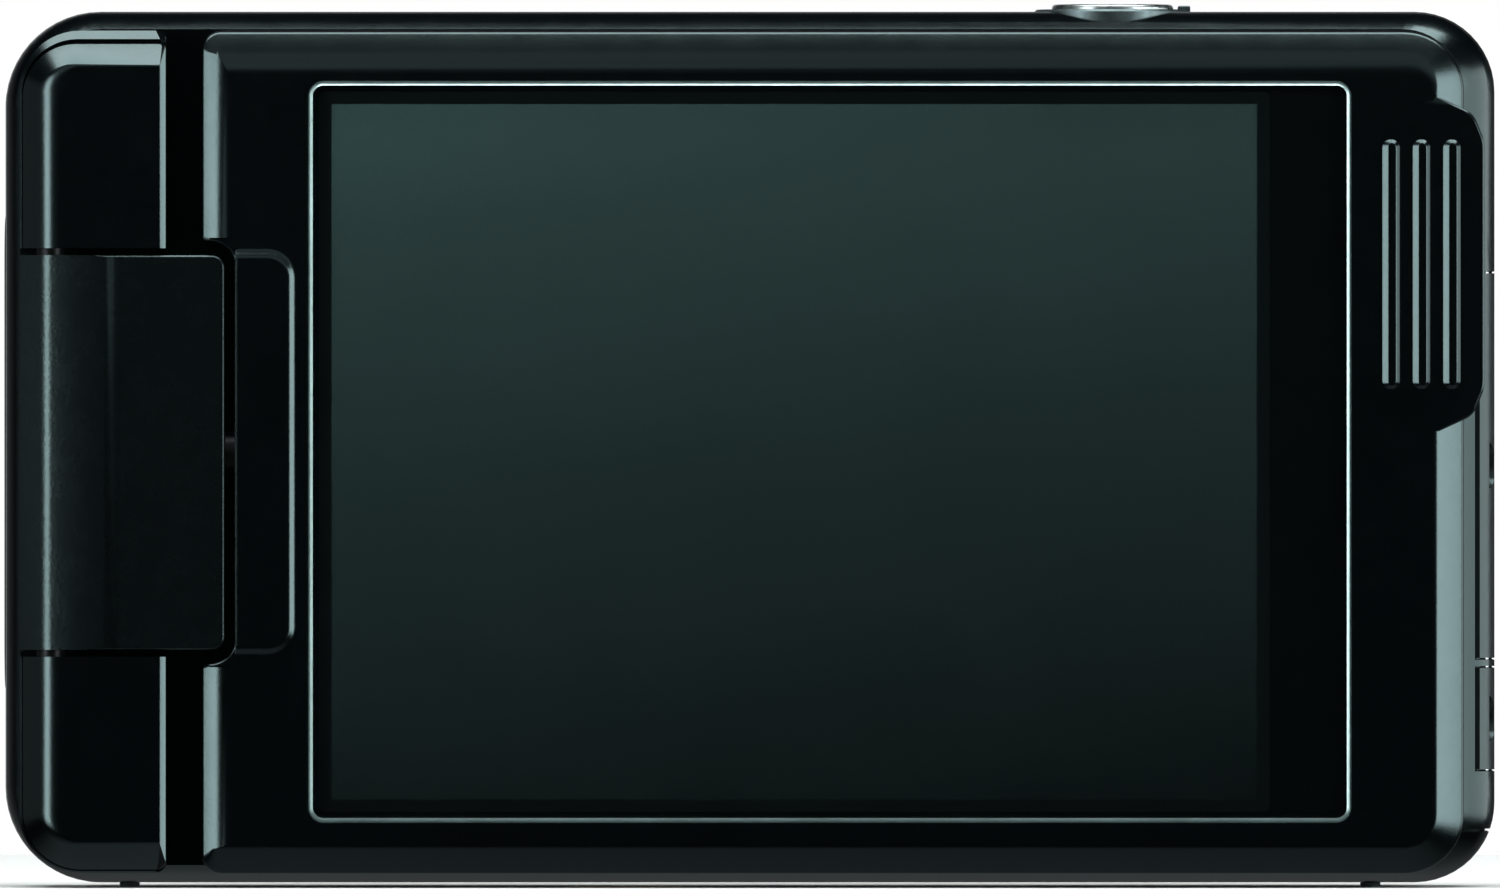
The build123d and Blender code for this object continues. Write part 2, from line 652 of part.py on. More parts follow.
# ---------------------------------------------------------------- chassis and boards
plate = block(left + wall + 1.4, right - wall - 2.6, chassis_y0, chassis_y1,
              bottom + wall + 1.5, top - wall - 1.5)
plate = fillet(plate.edges().filter_by(Axis.Y), 3.0)
for hole_x, hole_z in button_places:
    plate -= rod("y", button_radius + 0.9, -far, far, hole_x, hole_z)
plate -= rod("y", speaker_radius + 0.15, -far, far, speaker_x, speaker_z)
for hole_x, hole_z in tower_screw_places:
    plate -= rod("y", screw_head_radius + 0.3, -far, far, hole_x, hole_z)
plate -= rod("z", ring_radius + dial_clearance + 1.3, dial_floor - 4.0, top + 5, dial_x, dial_y)
plate -= block(battery_door_x0 - 1, tray_right + 0.5, -far, far, bottom, bottom + wall + 2.0)
plate -= block(tray_left - seated, tray_right + seated, tray_rear - seated, far, bottom, top)
board_post_places = [(x, z) for x in (board_left + 1.6, board_right - 1.6)
                     for z in (board_bottom + 1.6, board_top - 1.6)]
for post_x, post_z in board_post_places:
    plate += rod("y", 1.3, chassis_y1 - 0.1, board_y0, post_x, post_z)
    plate -= rod("y", screw_radius, board_y0 - 2.0, board_y0 + 1, post_x, post_z)
for lug_x, lug_y in case_screw_places:
    lug = block(lug_x - 1.7, lug_x + 1.7, chassis_y0, lug_y + 1.7, bottom + wall + 1.6, bottom + 6.0)
    lug += block(lug_x - 1.7, lug_x + 1.7, lug_y - 1.7, lug_y + 1.7, bottom + wall + seated, bottom + 6.0)
    plate += lug - rod("z", screw_radius, bottom, floor_screw_tip + 0.3, lug_x, lug_y)
plate += block(lens_x - 8, lens_x - 6, chassis_y1 - 0.1, chassis_y1 + 0.3, lens_z - 7, lens_z + 7)
plate += block(lens_x + 6, lens_x + 8, chassis_y1 - 0.1, chassis_y1 + 0.3, lens_z - 7, lens_z + 7)
keep("chassis", plate)

board = block(board_left, board_right, board_y0, board_y1, board_bottom, board_top)
for post_x, post_z in board_post_places:
    board -= rod("y", screw_radius + seated, -far, far, post_x, post_z)
keep("main_board", board)
board_screw_head = board_y1 + screw_head_height
keep("board_screws", screws("y", board_post_places, board_screw_head, board_y0 - 1.8, -1))
chip_x = (board_left + board_right) / 2
chips = []
# height above the board's lower edge, side and thickness of each chip
chip_sizes = ((11.0, 9.0, 1.0), (22.0, 7.0, 0.8), (31.5, 5.0, 0.7))
for chip_rise, chip_size, chip_height in chip_sizes:
    chip_z = board_bottom + chip_rise
    chips.append(block(chip_x - chip_size / 2, chip_x + chip_size / 2, board_y1, board_y1 + chip_height,
                       chip_z - chip_size / 2, chip_z + chip_size / 2))
keep("board_chips", chips)

button_y1 = inner_rear + 0.15 + 0.5
button_board_y0 = button_y1 + button_travel + 0.25
button_board = block(button_x - 5.0, button_x + 5.0, button_board_y0, button_board_y0 + 0.8,
                     button_places[2][1] - 5.0, button_places[0][1] + 5.0)
keep("button_board", button_board)
for name, (hole_x, hole_z) in zip(("power_button", "playback_button", "lamp_button"), button_places):
    key = rod("y", button_radius, rear_y, inner_rear + 0.16, hole_x, hole_z)
    key = chamfer(rear_edges(key, rear_y), 0.2)
    key += rod("y", button_radius + 0.5, inner_rear + 0.15, button_y1, hole_x, hole_z)
    keep(name, key)
keep("speaker", rod("y", speaker_radius, inner_rear + 0.05, chassis_y1 + 0.4, speaker_x, speaker_z))

# ---------------------------------------------------------------- lens, lamp and microphones
barrel_y0 = chassis_y1 + 1.5
barrel_y1 = front_y - 0.7
barrel = rod("y", lens_barrel_radius, barrel_y0, barrel_y1, lens_x, lens_z)
barrel += rod("y", lens_ring_radius - 1.3, barrel_y1 - 4.5, barrel_y1 - 3.5, lens_x, lens_z)
barrel -= rod("y", lens_barrel_radius - barrel_wall, barrel_y0 + 1.2, barrel_y1 + 1, lens_x, lens_z)
barrel -= rod("y", 3.4, barrel_y0 - 1, barrel_y0 + 2, lens_x, lens_z)
keep("lens_barrel", barrel)
ring = rod("y", lens_ring_radius, front_y - 0.6, front_y + lens_ring_proud, lens_x, lens_z)
ring = fillet(rear_edges(ring, front_y + lens_ring_proud), 0.3)
ring -= rod("y", lens_barrel_radius - 0.4, front_y - 1, front_y + 0.2, lens_x, lens_z)
cone_depth = front_y + lens_ring_proud - (front_y - 0.1)
cone = Pos(lens_x, front_y - 0.1 + cone_depth / 2, lens_z) * Rot(-90, 0, 0)
ring -= cone * Cone(lens_barrel_radius - 1.2, lens_barrel_radius, cone_depth + 0.02)
keep("lens_ring", ring)
keep("front_glass", rod("y", lens_barrel_radius - 0.4 - seated, front_y - 0.6, front_y - 0.1, lens_x, lens_z))
elements = []
element_radius = lens_barrel_radius - barrel_wall
element_start = barrel_y0 + 1.6
for number, bulge in enumerate((0.5, -0.35, 0.6)):
    y0 = element_start + number * (element_thickness + 0.9)
    dome = abs(bulge)
    sphere_radius = (element_radius ** 2 + dome ** 2) / (2 * dome)
    disc = rod("y", element_radius, y0, y0 + element_thickness, lens_x, lens_z)
    if bulge > 0:
        disc &= Pos(lens_x, y0 + element_thickness - sphere_radius, lens_z) * Sphere(sphere_radius)
    else:
        disc -= Pos(lens_x, y0 + element_thickness - dome + sphere_radius, lens_z) * Sphere(sphere_radius)
    elements.append(disc)
keep("lens_elements", elements)
sensor_board_y0 = chassis_y1 + 0.3
keep("sensor_board", block(lens_x - 8.5, lens_x + 8.5, sensor_board_y0, sensor_board_y0 + 0.6,
                           lens_z - 7.5, lens_z + 7.5))
keep("image_sensor", block(lens_x - 3.2, lens_x + 3.2, sensor_board_y0 + 0.6, barrel_y0 + 0.1,
                           lens_z - 2.6, lens_z + 2.6) & rod("y", 3.35, -far, far, lens_x, lens_z))
keep("lamp_window", rod("y", lamp_radius, inner_front - 0.3, front_y, lamp_x, lamp_z))
keep("lamp_led", block(lamp_x - 1.6, lamp_x + 1.6, board_y1, inner_front - 0.5, lamp_z - 1.6, lamp_z + 1.6))
keep("microphones", [rod("y", 2.0, inner_front - 1.6, inner_front, x, z) for x, z in microphone_places])

# ---------------------------------------------------------------- tripod bush
tripod_top = bottom + tripod_depth + 1.0
bush = rod("z", tripod_bush_radius - 0.85, bottom, bottom + wall, tripod_x, tripod_y)
bush += rod("z", tripod_bush_radius, bottom + wall, tripod_top, tripod_x, tripod_y) & inside
bush -= rod("z", tripod_thread_radius, bottom - 1, bottom + tripod_depth, tripod_x, tripod_y)
keep("tripod_bush", bush)

# ---------------------------------------------------------------- battery, tray, door and latch
battery_bottom = door_floor + 0.35
battery_top = battery_bottom + battery_length
battery = block(battery_left, battery_right, battery_rear, battery_front, battery_bottom, battery_top)
keep("battery", fillet(battery.edges().filter_by(Axis.Z), 1.2))
tray_bottom = bottom + wall + 0.7
tray_top = battery_top + drop_in + tray_wall + 1.0
tray = block(tray_left, tray_right, tray_rear, tray_front, tray_bottom, tray_top)
tray -= block(battery_left - drop_in, battery_right + drop_in, battery_rear - drop_in,
              battery_front + drop_in, tray_bottom - 1, battery_top + drop_in + 1.0)
keep("battery_tray", tray)
contacts = []
for number in range(3):
    contact_x = battery_left + 5.0 + number * 3.0
    contacts.append(block(contact_x - 0.5, contact_x + 0.5, battery_rear + 2.0, battery_rear + 4.0,
                          battery_top + 0.1, battery_top + drop_in + 1.0))
keep("battery_contacts", contacts)
leaf = block(battery_axis_x, battery_door_x1, battery_door_y0, battery_door_y1, bottom, door_floor)
leaf += rod("y", door_thickness / 2, battery_door_y0, battery_door_y1, battery_axis_x, battery_axis_z)
leaf -= rod("y", pin_radius + running, -far, far, battery_axis_x, battery_axis_z)
latch_x1 = battery_door_x1 - 1.6
latch_length = 4.6
latch_width = 4.0
latch_y = (battery_door_y0 + battery_door_y1) / 2
leaf -= block(latch_x1 - latch_length - latch_travel - 0.1, latch_x1 + 0.1, latch_y - latch_width / 2 - 0.08,
              latch_y + latch_width / 2 + 0.08, bottom - 1, bottom + 0.6)
keep("battery_door", leaf)
latch = block(latch_x1 - latch_length, latch_x1, latch_y - latch_width / 2, latch_y + latch_width / 2,
              bottom, bottom + 0.55)
for number in range(3):
    groove_x = latch_x1 - 1.3 - number * 1.0
    latch -= block(groove_x - 0.2, groove_x + 0.2, -far, far, bottom - 1, bottom + 0.15)
keep("battery_latch", latch)
keep("battery_door_pin", rod("y", pin_radius, battery_door_y0 - pin_hold, battery_door_y1 + pin_hold,
                             battery_axis_x, battery_axis_z))

# ---------------------------------------------------------------- side doors and sockets
keep("long_door", side_door(long_bottom, long_top))
keep("small_door", side_door(small_bottom, small_top))
keep("side_door_pin", rod("z", pin_radius, door_pin_z0, door_pin_z1, door_axis_x, door_axis_y))
socket_x0 = tray_right + 1.2
socket_x1 = right - 3.4
side_board_y0 = strap_y - 0.4
side_board_y1 = side_board_y0 + side_board_thickness
keep("side_board", block(tray_right + 0.4, socket_x1, side_board_y0, side_board_y1, small_bottom, long_top))


def socket(z0, z1, height, tongue):
    """Metal-shelled socket on the side board, open to the right, with its contact tongue."""
    y0 = side_board_y1
    metal = 0.3
    can = block(socket_x0 + 1.0, socket_x1, y0, y0 + height, z0, z1)
    can -= block(socket_x0 + 2.0, socket_x1 + 1, y0 + metal, y0 + height - metal, z0 + metal, z1 - metal)
    middle = y0 + height / 2
    return can + block(socket_x0 + 1.5, socket_x1 - 1.0, middle - tongue / 2, middle + tongue / 2,
                       z0 + 1.2, z1 - 1.2)


socket_centre = (long_bottom + long_top) / 2
keep("video_socket", socket(socket_centre - 10.2, socket_centre + 1.0, 3.0, 0.6))
keep("data_socket", socket(socket_centre + 2.6, socket_centre + 10.2, 2.4, 0.5))
small_centre = (small_bottom + small_top) / 2
power_y = side_board_y1 + 2.0
jack = block(socket_x0 + 1.0, socket_x1, side_board_y1, side_board_y1 + 4.0,
             small_centre - 2.6, small_centre + 2.6)
jack -= rod("x", 1.7, socket_x0 + 2.0, socket_x1 + 1, power_y, small_centre)
jack += rod("x", 0.5, socket_x0 + 1.5, socket_x1 - 0.8, power_y, small_centre)
keep("power_socket", jack)

# ---------------------------------------------------------------- zoom dial and shutter button
cup_top = top - wall - 0.05
cup = rod("z", ring_radius + dial_clearance + 0.8, dial_floor - 0.9, cup_top, dial_x, dial_y)
cup &= casing(wall + 0.1)
cup -= rod("z", ring_radius + dial_clearance, dial_floor - 0.1, top, dial_x, dial_y)
hub_radius = 2.0
cup -= rod("z", hub_radius + running, dial_floor - 2, dial_floor, dial_x, dial_y)
switch_top = dial_floor - 3.0 - shutter_travel - 0.1
for side in (-1, 1):
    leg_x = dial_x + side * 4.4
    cup += block(leg_x - 0.8, leg_x + 0.8, dial_y - 1.5, dial_y + 1.5, switch_top - 1.6, dial_floor - 0.5)
cup += block(dial_x - 5.2, dial_x + 5.2, dial_y - 1.5, dial_y + 1.5, switch_top - 2.2, switch_top - 1.4)
keep("dial_cup", cup)
keep("shutter_switch", block(dial_x - 1.8, dial_x + 1.8, dial_y - 1.4, dial_y + 1.4,
                             switch_top - 1.4, switch_top))
ring_top = top + ring_proud
zoom = rod("z", ring_radius, dial_floor, ring_top, dial_x, dial_y)
zoom = chamfer([e for e in zoom.edges() if abs(e.center().Z - ring_top) < 1e-4], 0.15)
zoom -= rod("z", ring_bore, dial_floor + 0.6, top + 5, dial_x, dial_y)
zoom += rod("z", hub_radius, dial_floor - 2.6, dial_floor + 0.3, dial_x, dial_y)
nub_top = ring_top + 0.25
nub = block(dial_x + ring_bore, dial_x + ring_radius - 0.05, dial_y - 1.1, dial_y + 1.1, ring_top - 0.1, nub_top)
zoom += fillet([e for e in nub.edges() if abs(e.center().Z - nub_top) < 1e-4], 0.1)
zoom -= rod("z", cap_stem_radius + running, dial_floor - 5, dial_floor + 2, dial_x, dial_y)
keep("zoom_ring", zoom)
cap_top = top + cap_proud
cap_bottom = dial_floor + 0.6 + shutter_travel + 0.15
cap = rod("z", cap_radius, cap_bottom, cap_top, dial_x, dial_y)
cap = fillet([e for e in cap.edges() if abs(e.center().Z - cap_top) < 1e-4], 0.25)
cap += rod("z", cap_stem_radius, dial_floor - 3.0, cap_bottom + 0.1, dial_x, dial_y)
keep("shutter_button", cap)
spring = rod("z", hub_radius + 0.9, dial_floor - 2.4, dial_floor - 1.0, dial_x, dial_y)
keep("zoom_spring", spring - rod("z", hub_radius + 0.15, -far, far, dial_x, dial_y))

# ---------------------------------------------------------------- export
for name, shape in parts.items():
    export_step(shape, f"parts/{name}.step")
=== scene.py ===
import json

import bmesh
import bpy
import numpy as np
from bpy.props import FloatProperty, FloatVectorProperty, PointerProperty
from mathutils import Matrix, Vector
from mathutils.geometry import tessellate_polygon

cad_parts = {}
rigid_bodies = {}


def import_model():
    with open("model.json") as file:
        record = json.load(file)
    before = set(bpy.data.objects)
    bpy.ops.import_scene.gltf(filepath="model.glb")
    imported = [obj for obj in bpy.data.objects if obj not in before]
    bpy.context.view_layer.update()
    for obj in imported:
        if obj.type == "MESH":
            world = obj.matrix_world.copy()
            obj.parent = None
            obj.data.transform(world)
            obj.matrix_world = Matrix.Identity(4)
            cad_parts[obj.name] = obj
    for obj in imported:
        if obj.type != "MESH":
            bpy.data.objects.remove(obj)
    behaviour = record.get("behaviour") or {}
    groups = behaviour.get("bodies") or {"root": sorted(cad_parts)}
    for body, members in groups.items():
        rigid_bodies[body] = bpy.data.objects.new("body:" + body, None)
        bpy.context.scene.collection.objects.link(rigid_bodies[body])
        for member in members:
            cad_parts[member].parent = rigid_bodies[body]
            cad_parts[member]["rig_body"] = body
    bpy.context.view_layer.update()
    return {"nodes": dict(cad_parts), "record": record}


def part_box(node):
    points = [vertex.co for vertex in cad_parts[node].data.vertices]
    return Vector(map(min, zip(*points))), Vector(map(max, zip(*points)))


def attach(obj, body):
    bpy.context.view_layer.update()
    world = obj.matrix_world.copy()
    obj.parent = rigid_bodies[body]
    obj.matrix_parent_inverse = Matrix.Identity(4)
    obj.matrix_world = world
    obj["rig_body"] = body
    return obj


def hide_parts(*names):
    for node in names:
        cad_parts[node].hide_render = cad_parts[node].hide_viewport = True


bl_info = {
    "name": "Slim Pocket Camcorder",
    "version": (1, 0, 0),
    "blender": (4, 5, 0),
    "location": "View3D > Sidebar > Camcorder",
    "description": "Dresses the fixed frame of a slim pocket camcorder and sets its stage",
    "category": "Add Mesh",
}

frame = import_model()
SLOT_OF = {part["node"]: part["material_slot"] for part in frame["record"]["subparts"]}

MM = 0.001
ARC_STEPS = 12          # steps round each corner of an outline
ROUND_STEPS = 6         # steps round each bend of an edge's section
CROWN_STEPS = 12        # steps across the hinge block's crowned face
RIM_STEPS = 14          # steps up the rim of the pad beside the hinge
SHARP = 0.02 * MM       # smallest corner radius
HAIR = 0.05 * MM        # flat strip that keeps a face's shading flat up to its edge
WELD = 0.0002 * MM      # points nearer to each other than this become one
SLIVER = 1e-14          # triangles with less than this as twice their area are left out
SMOOTH_ANGLE = np.radians(30)    # sharper folds stay crisp
TIGHT_ROUND = 0.12 * MM          # round of the smallest bevels
GLASS_CORNER = 1.0 * MM          # corner radius of the window and its seat
COOL = (0.71, 0.98, 1.0, 1.0)    # tint of the black plastics' sheen


# ---------------------------------------------------------------- outlines and sections
def outline(corners, insets=0.0):
    """Closed outline in X and Z, anticlockwise as seen from behind the camcorder.

    Each edge moves inwards by its inset, two moved edges cross at each corner, and an arc of equal
    steps that touches both rounds it: centre plus the first spoke turned by share times the turn.
    Returns the points, and the share of each between the edge before its corner and the one after.
    """
    corners = np.asarray(corners, float)
    places = corners[:, :2]
    insets = np.broadcast_to(insets, len(corners))
    along = np.roll(places, -1, axis=0) - places
    along /= np.linalg.norm(along, axis=1)[:, None]
    inward = np.stack([-along[:, 1], along[:, 0]], axis=1)
    before = np.roll(along, 1, axis=0)
    inward_before = np.roll(inward, 1, axis=0)
    insets_before = np.roll(insets, 1)
    walls = np.stack([inward_before, inward], axis=1)
    steps = np.stack([insets_before, insets], axis=1)[..., None]
    crossing = places + np.linalg.solve(walls, steps)[..., 0]
    cross = before[:, 0] * along[:, 1] - before[:, 1] * along[:, 0]
    turn = np.arctan2(cross, (before * along).sum(axis=1))
    side = np.sign(turn)
    radius = np.maximum(corners[:, 2] - side * (insets_before + insets) / 2, SHARP)
    start = crossing - before * (radius * np.tan(np.abs(turn) / 2))[:, None]
    centre = start + inward_before * (side * radius)[:, None]
    share = np.linspace(0, 1, ARC_STEPS + 1)
    angle = turn[:, None] * share
    spoke = start - centre
    x = centre[:, :1] + spoke[:, :1] * np.cos(angle) - spoke[:, 1:] * np.sin(angle)
    z = centre[:, 1:] + spoke[:, :1] * np.sin(angle) + spoke[:, 1:] * np.cos(angle)
    return np.stack([x, z], axis=2).reshape(-1, 2), share


def ring(corners, insets, depths):
    """Outline as points in space.

    Depth, or Y, is one value or one for each edge. Round a corner it goes evenly from edge to edge.
    """
    points, share = outline(corners, insets)
    depths = np.broadcast_to(depths, len(corners)).astype(float)
    depth = np.roll(depths, 1)[:, None] * (1 - share) + depths[:, None] * share
    return np.stack([points[:, 0], depth.reshape(-1), points[:, 1]], axis=1)


def bend(corner, before, after, radius):
    """Arc of equal steps between two directions, which touches both lines through a corner."""
    turn = np.arctan2(before[0] * after[1] - before[1] * after[0], before @ after)
    start = corner - before * radius * np.tan(abs(turn) / 2)
    centre = start + np.array([-before[1], before[0]]) * radius * np.sign(turn)
    angle = turn * np.linspace(0, 1, ROUND_STEPS + 1)[:, None]
    spoke = start - centre
    turned = np.stack([-spoke[1], spoke[0]])
    return centre + spoke * np.cos(angle) + turned * np.sin(angle)


def bevel_section(width, drop, outer_round, inner_round):
    """Section of a bevelled edge as inset and drop, from the flat face to the wall.

    Face, slope and wall are straight, and an arc of equal steps rounds each of their two meetings.
    """
    slope = np.array([-width, drop]) / np.hypot(width, drop)
    inner = bend(np.array([width, 0.0]), np.array([-1.0, 0.0]), slope, inner_round)
    outer = bend(np.array([0.0, drop]), slope, np.array([0.0, 1.0]), outer_round)
    return np.vstack([[inner[0, 0] + HAIR, 0.0], inner, outer])


def lipped_section(width, drop, inner_round, lip=0.0, lip_drop=0.0, groove=0.0):
    """Bevel section with a narrow groove outside it and a sloping lip outside the groove.

    Without a lip it is the plain bevel, with five more points down its wall, as many as the lip takes.
    """
    bevel = bevel_section(width, drop, min(TIGHT_ROUND, 0.8 * width), inner_round)
    bevel[:, 0] += lip + groove
    last = bevel[-1, 1]
    if lip == 0:
        wall = [(0.0, last + step * SHARP) for step in range(1, 6)]
    else:
        bottom = last + 0.45 * MM
        wall = [(lip + groove, bottom), (lip + SHARP, bottom), (lip, last), (SHARP, last + lip_drop),
                (0.0, last + lip_drop + SHARP)]
    return np.vstack([bevel, wall])


def section_rings(corners, sections, face):
    """One ring for each point of the edges' sections, from the face outwards and away from the viewer."""
    insets, drops = np.stack(sections, axis=2).transpose(1, 0, 2)
    return [ring(corners, inset, face + drop) for inset, drop in zip(insets, drops)]


def box_corners(x0, x1, z0, z1, radii):
    """Four corners of an upright rectangle from the lower left one, with their radii."""
    places = np.array([(x0, z0), (x1, z0), (x1, z1), (x0, z1)])
    return np.column_stack([places, np.broadcast_to(radii, 4)])


def framed(low, high, margin, radius):
    """Corners of the upright rectangle round a box, wider by a margin on every side."""
    return box_corners(low.x - margin, high.x + margin, low.z - margin, high.z + margin, radius)


# ---------------------------------------------------------------- meshes
def weld(work):
    """Joins points that coincide, and drops faces and edges of no size."""
    bmesh.ops.remove_doubles(work, verts=work.verts, dist=WELD)
    bmesh.ops.dissolve_degenerate(work, edges=work.edges, dist=WELD)


def write_back(work, mesh):
    """Hands a worked mesh back, shaded smooth apart from its sharper folds."""
    work.to_mesh(mesh)
    work.free()
    mesh.shade_smooth()
    mesh.set_sharp_from_angle(angle=SMOOTH_ANGLE)


class Skin:
    """Points and faces of one piece, gathered ring by ring."""

    def __init__(self):
        self.points = []
        self.faces = []
        self.finish = []
        self.count = 0

    def add(self, points, faces, finish=0):
        self.points.append(points)
        self.faces.extend((np.asarray(faces) + self.count).tolist())
        self.finish.extend([finish] * len(faces))
        self.count += len(points)

    def band(self, rings, finish=0):
        """Quads between successive rings: row r and column c join row r + 1 and column c + 1."""
        rows, columns = len(rings), len(rings[0])
        row, column = np.meshgrid(np.arange(rows - 1), np.arange(columns), indexing="ij")
        after = (column + 1) % columns
        quads = [row * columns + column, (row + 1) * columns + column,
                 (row + 1) * columns + after, row * columns + after]
        self.add(np.vstack(rings), np.stack(quads, axis=2).reshape(-1, 4), finish)

    def plate(self, outer, holes=(), facing=-1):
        """Flat sheet inside one ring and outside others, in triangles that face along Y."""
        loops = [outer, *holes]
        points = np.vstack(loops)
        flat = [[Vector((x, z, 0)) for x, _, z in loop] for loop in loops]
        triangles = np.array(tessellate_polygon(flat))
        a, b, c = (points[triangles[:, k]][:, [0, 2]] for k in range(3))
        area = (b[:, 0] - a[:, 0]) * (c[:, 1] - a[:, 1]) - (b[:, 1] - a[:, 1]) * (c[:, 0] - a[:, 0])
        wrong = area * facing > 0
        triangles[wrong] = triangles[wrong][:, ::-1]
        self.add(points, triangles[np.abs(area) > SLIVER])

    def solid(self, rings):
        """Closed piece: the first ring is covered towards the viewer and the last one away from it."""
        self.band(rings)
        self.plate(rings[0])
        self.plate(rings[-1], facing=1)

    def piece(self, name, body, slot, *materials):
        """Welded mesh object in its place, which rides on a body."""
        mesh = bpy.data.meshes.new(name)
        mesh.from_pydata(np.vstack(self.points).tolist(), [], self.faces)
        for material in materials:
            mesh.materials.append(material)
        mesh.polygons.foreach_set("material_index", self.finish)
        welded = bmesh.new()
        welded.from_mesh(mesh)
        weld(welded)
        write_back(welded, mesh)
        piece = bpy.data.objects.new(name, mesh)
        bpy.context.scene.collection.objects.link(piece)
        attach(piece, body)
        return piece


def slice_off(piece, cuts):
    """Cuts away what lies beyond each plane, given as point and normal, and closes each cut with one face."""
    work = bmesh.new()
    work.from_mesh(piece.data)
    for point, normal in cuts:
        made = bmesh.ops.bisect_plane(work, geom=[*work.verts, *work.edges, *work.faces], dist=WELD,
                                      plane_co=point, plane_no=Vector(normal).normalized(), clear_outer=True)
        rim = [part for part in made["geom_cut"] if isinstance(part, bmesh.types.BMEdge)]
        if rim:
            bmesh.ops.edgeloop_fill(work, edges=rim)
    weld(work)
    bmesh.ops.recalc_face_normals(work, faces=work.faces)
    write_back(work, piece.data)


# ---------------------------------------------------------------- materials
class Nodes:
    """Short ways to add shader nodes to one tree and to join them."""

    def __init__(self, tree):
        self.tree = tree

    def node(self, kind, **settings):
        node = self.tree.nodes.new(kind)
        for key, value in settings.items():
            setattr(node, key, value)
        return node

    def link(self, source, target):
        self.tree.links.new(source, target)

    def ranged(self, value, low, high, out_low, out_high):
        """Straight-line change of range, kept within its ends."""
        change = self.node("ShaderNodeMapRange")
        for key, number in (("From Min", low), ("From Max", high), ("To Min", out_low), ("To Max", out_high)):
            change.inputs[key].default_value = number
        self.link(value, change.inputs["Value"])
        return change.outputs["Result"]

    def summed(self, first, second):
        """Sum of two values."""
        add = self.node("ShaderNodeMath", operation="ADD")
        self.link(first, add.inputs[0])
        self.link(second, add.inputs[1])
        return add.outputs[0]


class Finish(Nodes):
    """Procedural material whose patterns all read the piece's own Object coordinates."""

    def __init__(self, name):
        self.material = bpy.data.materials.new(name)
        self.material.use_nodes = True
        super().__init__(self.material.node_tree)
        self.shader = self.tree.nodes["Principled BSDF"]
        self.place = self.tree.nodes.new("ShaderNodeTexCoord").outputs["Object"]

    def stretched(self, scale):
        """Object coordinates scaled along each axis."""
        mapping = self.node("ShaderNodeMapping")
        mapping.inputs["Scale"].default_value = scale
        self.link(self.place, mapping.inputs["Vector"])
        return mapping.outputs["Vector"]

    def noise(self, size, detail=2.0, roughness=0.5, place=None):
        """Noise whose lumps are about size across."""
        noise = self.node("ShaderNodeTexNoise")
        noise.inputs["Scale"].default_value = 1 / size
        noise.inputs["Detail"].default_value = detail
        noise.inputs["Roughness"].default_value = roughness
        self.link(place or self.place, noise.inputs["Vector"])
        return noise.outputs["Fac"]

    def cells(self, size, feature="F1"):
        """Distance pattern of packed cells about size across."""
        cells = self.node("ShaderNodeTexVoronoi", feature=feature)
        cells.inputs["Scale"].default_value = 1 / size
        self.link(self.place, cells.inputs["Vector"])
        return cells.outputs["Distance"]

    def spread(self, noise, out_low=0.0, out_high=1.0):
        """The usual span of a noise, stretched over a range."""
        return self.ranged(noise, 0.3, 0.7, out_low, out_high)

    def mixed(self, share, first, second):
        """Colour between two others."""
        mix = self.node("ShaderNodeMix", data_type="RGBA")
        self.link(share, mix.inputs[0])
        for socket, colour in ((mix.inputs[6], first), (mix.inputs[7], second)):
            if isinstance(colour, bpy.types.NodeSocket):
                self.link(colour, socket)
            else:
                socket.default_value = (*colour, 1)
        return mix.outputs[2]

    def bumped(self, heights):
        """Bump from (pattern, depth) pairs, one on top of the other."""
        normal = None
        for height, depth in heights:
            bump = self.node("ShaderNodeBump")
            bump.inputs["Strength"].default_value = 1.0
            bump.inputs["Distance"].default_value = depth
            self.link(height, bump.inputs["Height"])
            if normal is not None:
                self.link(normal, bump.inputs["Normal"])
            normal = bump.outputs["Normal"]
        self.link(normal, self.shader.inputs["Normal"])

    def paint(self, colour, roughness):
        """Colour and roughness, each a pattern or an even value."""
        for key, value in (("Base Color", colour), ("Roughness", roughness)):
            if isinstance(value, bpy.types.NodeSocket):
                self.link(value, self.shader.inputs[key])
            else:
                self.shader.inputs[key].default_value = (*value, 1) if key == "Base Color" else value

    def even(self, **values):
        """Even values, set on the shader's own sockets."""
        for key, value in values.items():
            self.shader.inputs[key.replace("_", " ")].default_value = value


def shaded(colour, factor):
    """Colour made darker or lighter by a factor."""
    return tuple(min(1.0, part * factor) for part in colour)


def moulded(name, colour, roughness, grain, grain_depth, mottle=0.12, gloss=0.6, lumps=None):
    """Moulded plastic: fine spark-eroded grain, soft clouds in tone and gloss, and faint rubbed patches."""
    finish = Finish(name)
    clouds = finish.noise(6 * MM, 3.0)
    fine = finish.noise(grain, 3.0, 0.6)
    rubbed = finish.noise(1.6 * MM, 4.0, 0.65)
    colour_out = finish.mixed(finish.spread(clouds), shaded(colour, 1 - mottle), shaded(colour, 1 + mottle))
    speck = finish.ranged(fine, 0.55, 0.75, 0, 0.5)
    colour_out = finish.mixed(speck, colour_out, shaded(colour, 2.2))
    wear = 0.015
    finish.paint(colour_out, finish.spread(rubbed, roughness - wear, roughness + wear))
    heights = [(fine, grain_depth)]
    if lumps:
        heights.insert(0, (finish.cells(lumps[0], "SMOOTH_F1"), lumps[1]))
    finish.bumped(heights)
    finish.even(Specular_IOR_Level=gloss, Specular_Tint=COOL)
    return finish.material


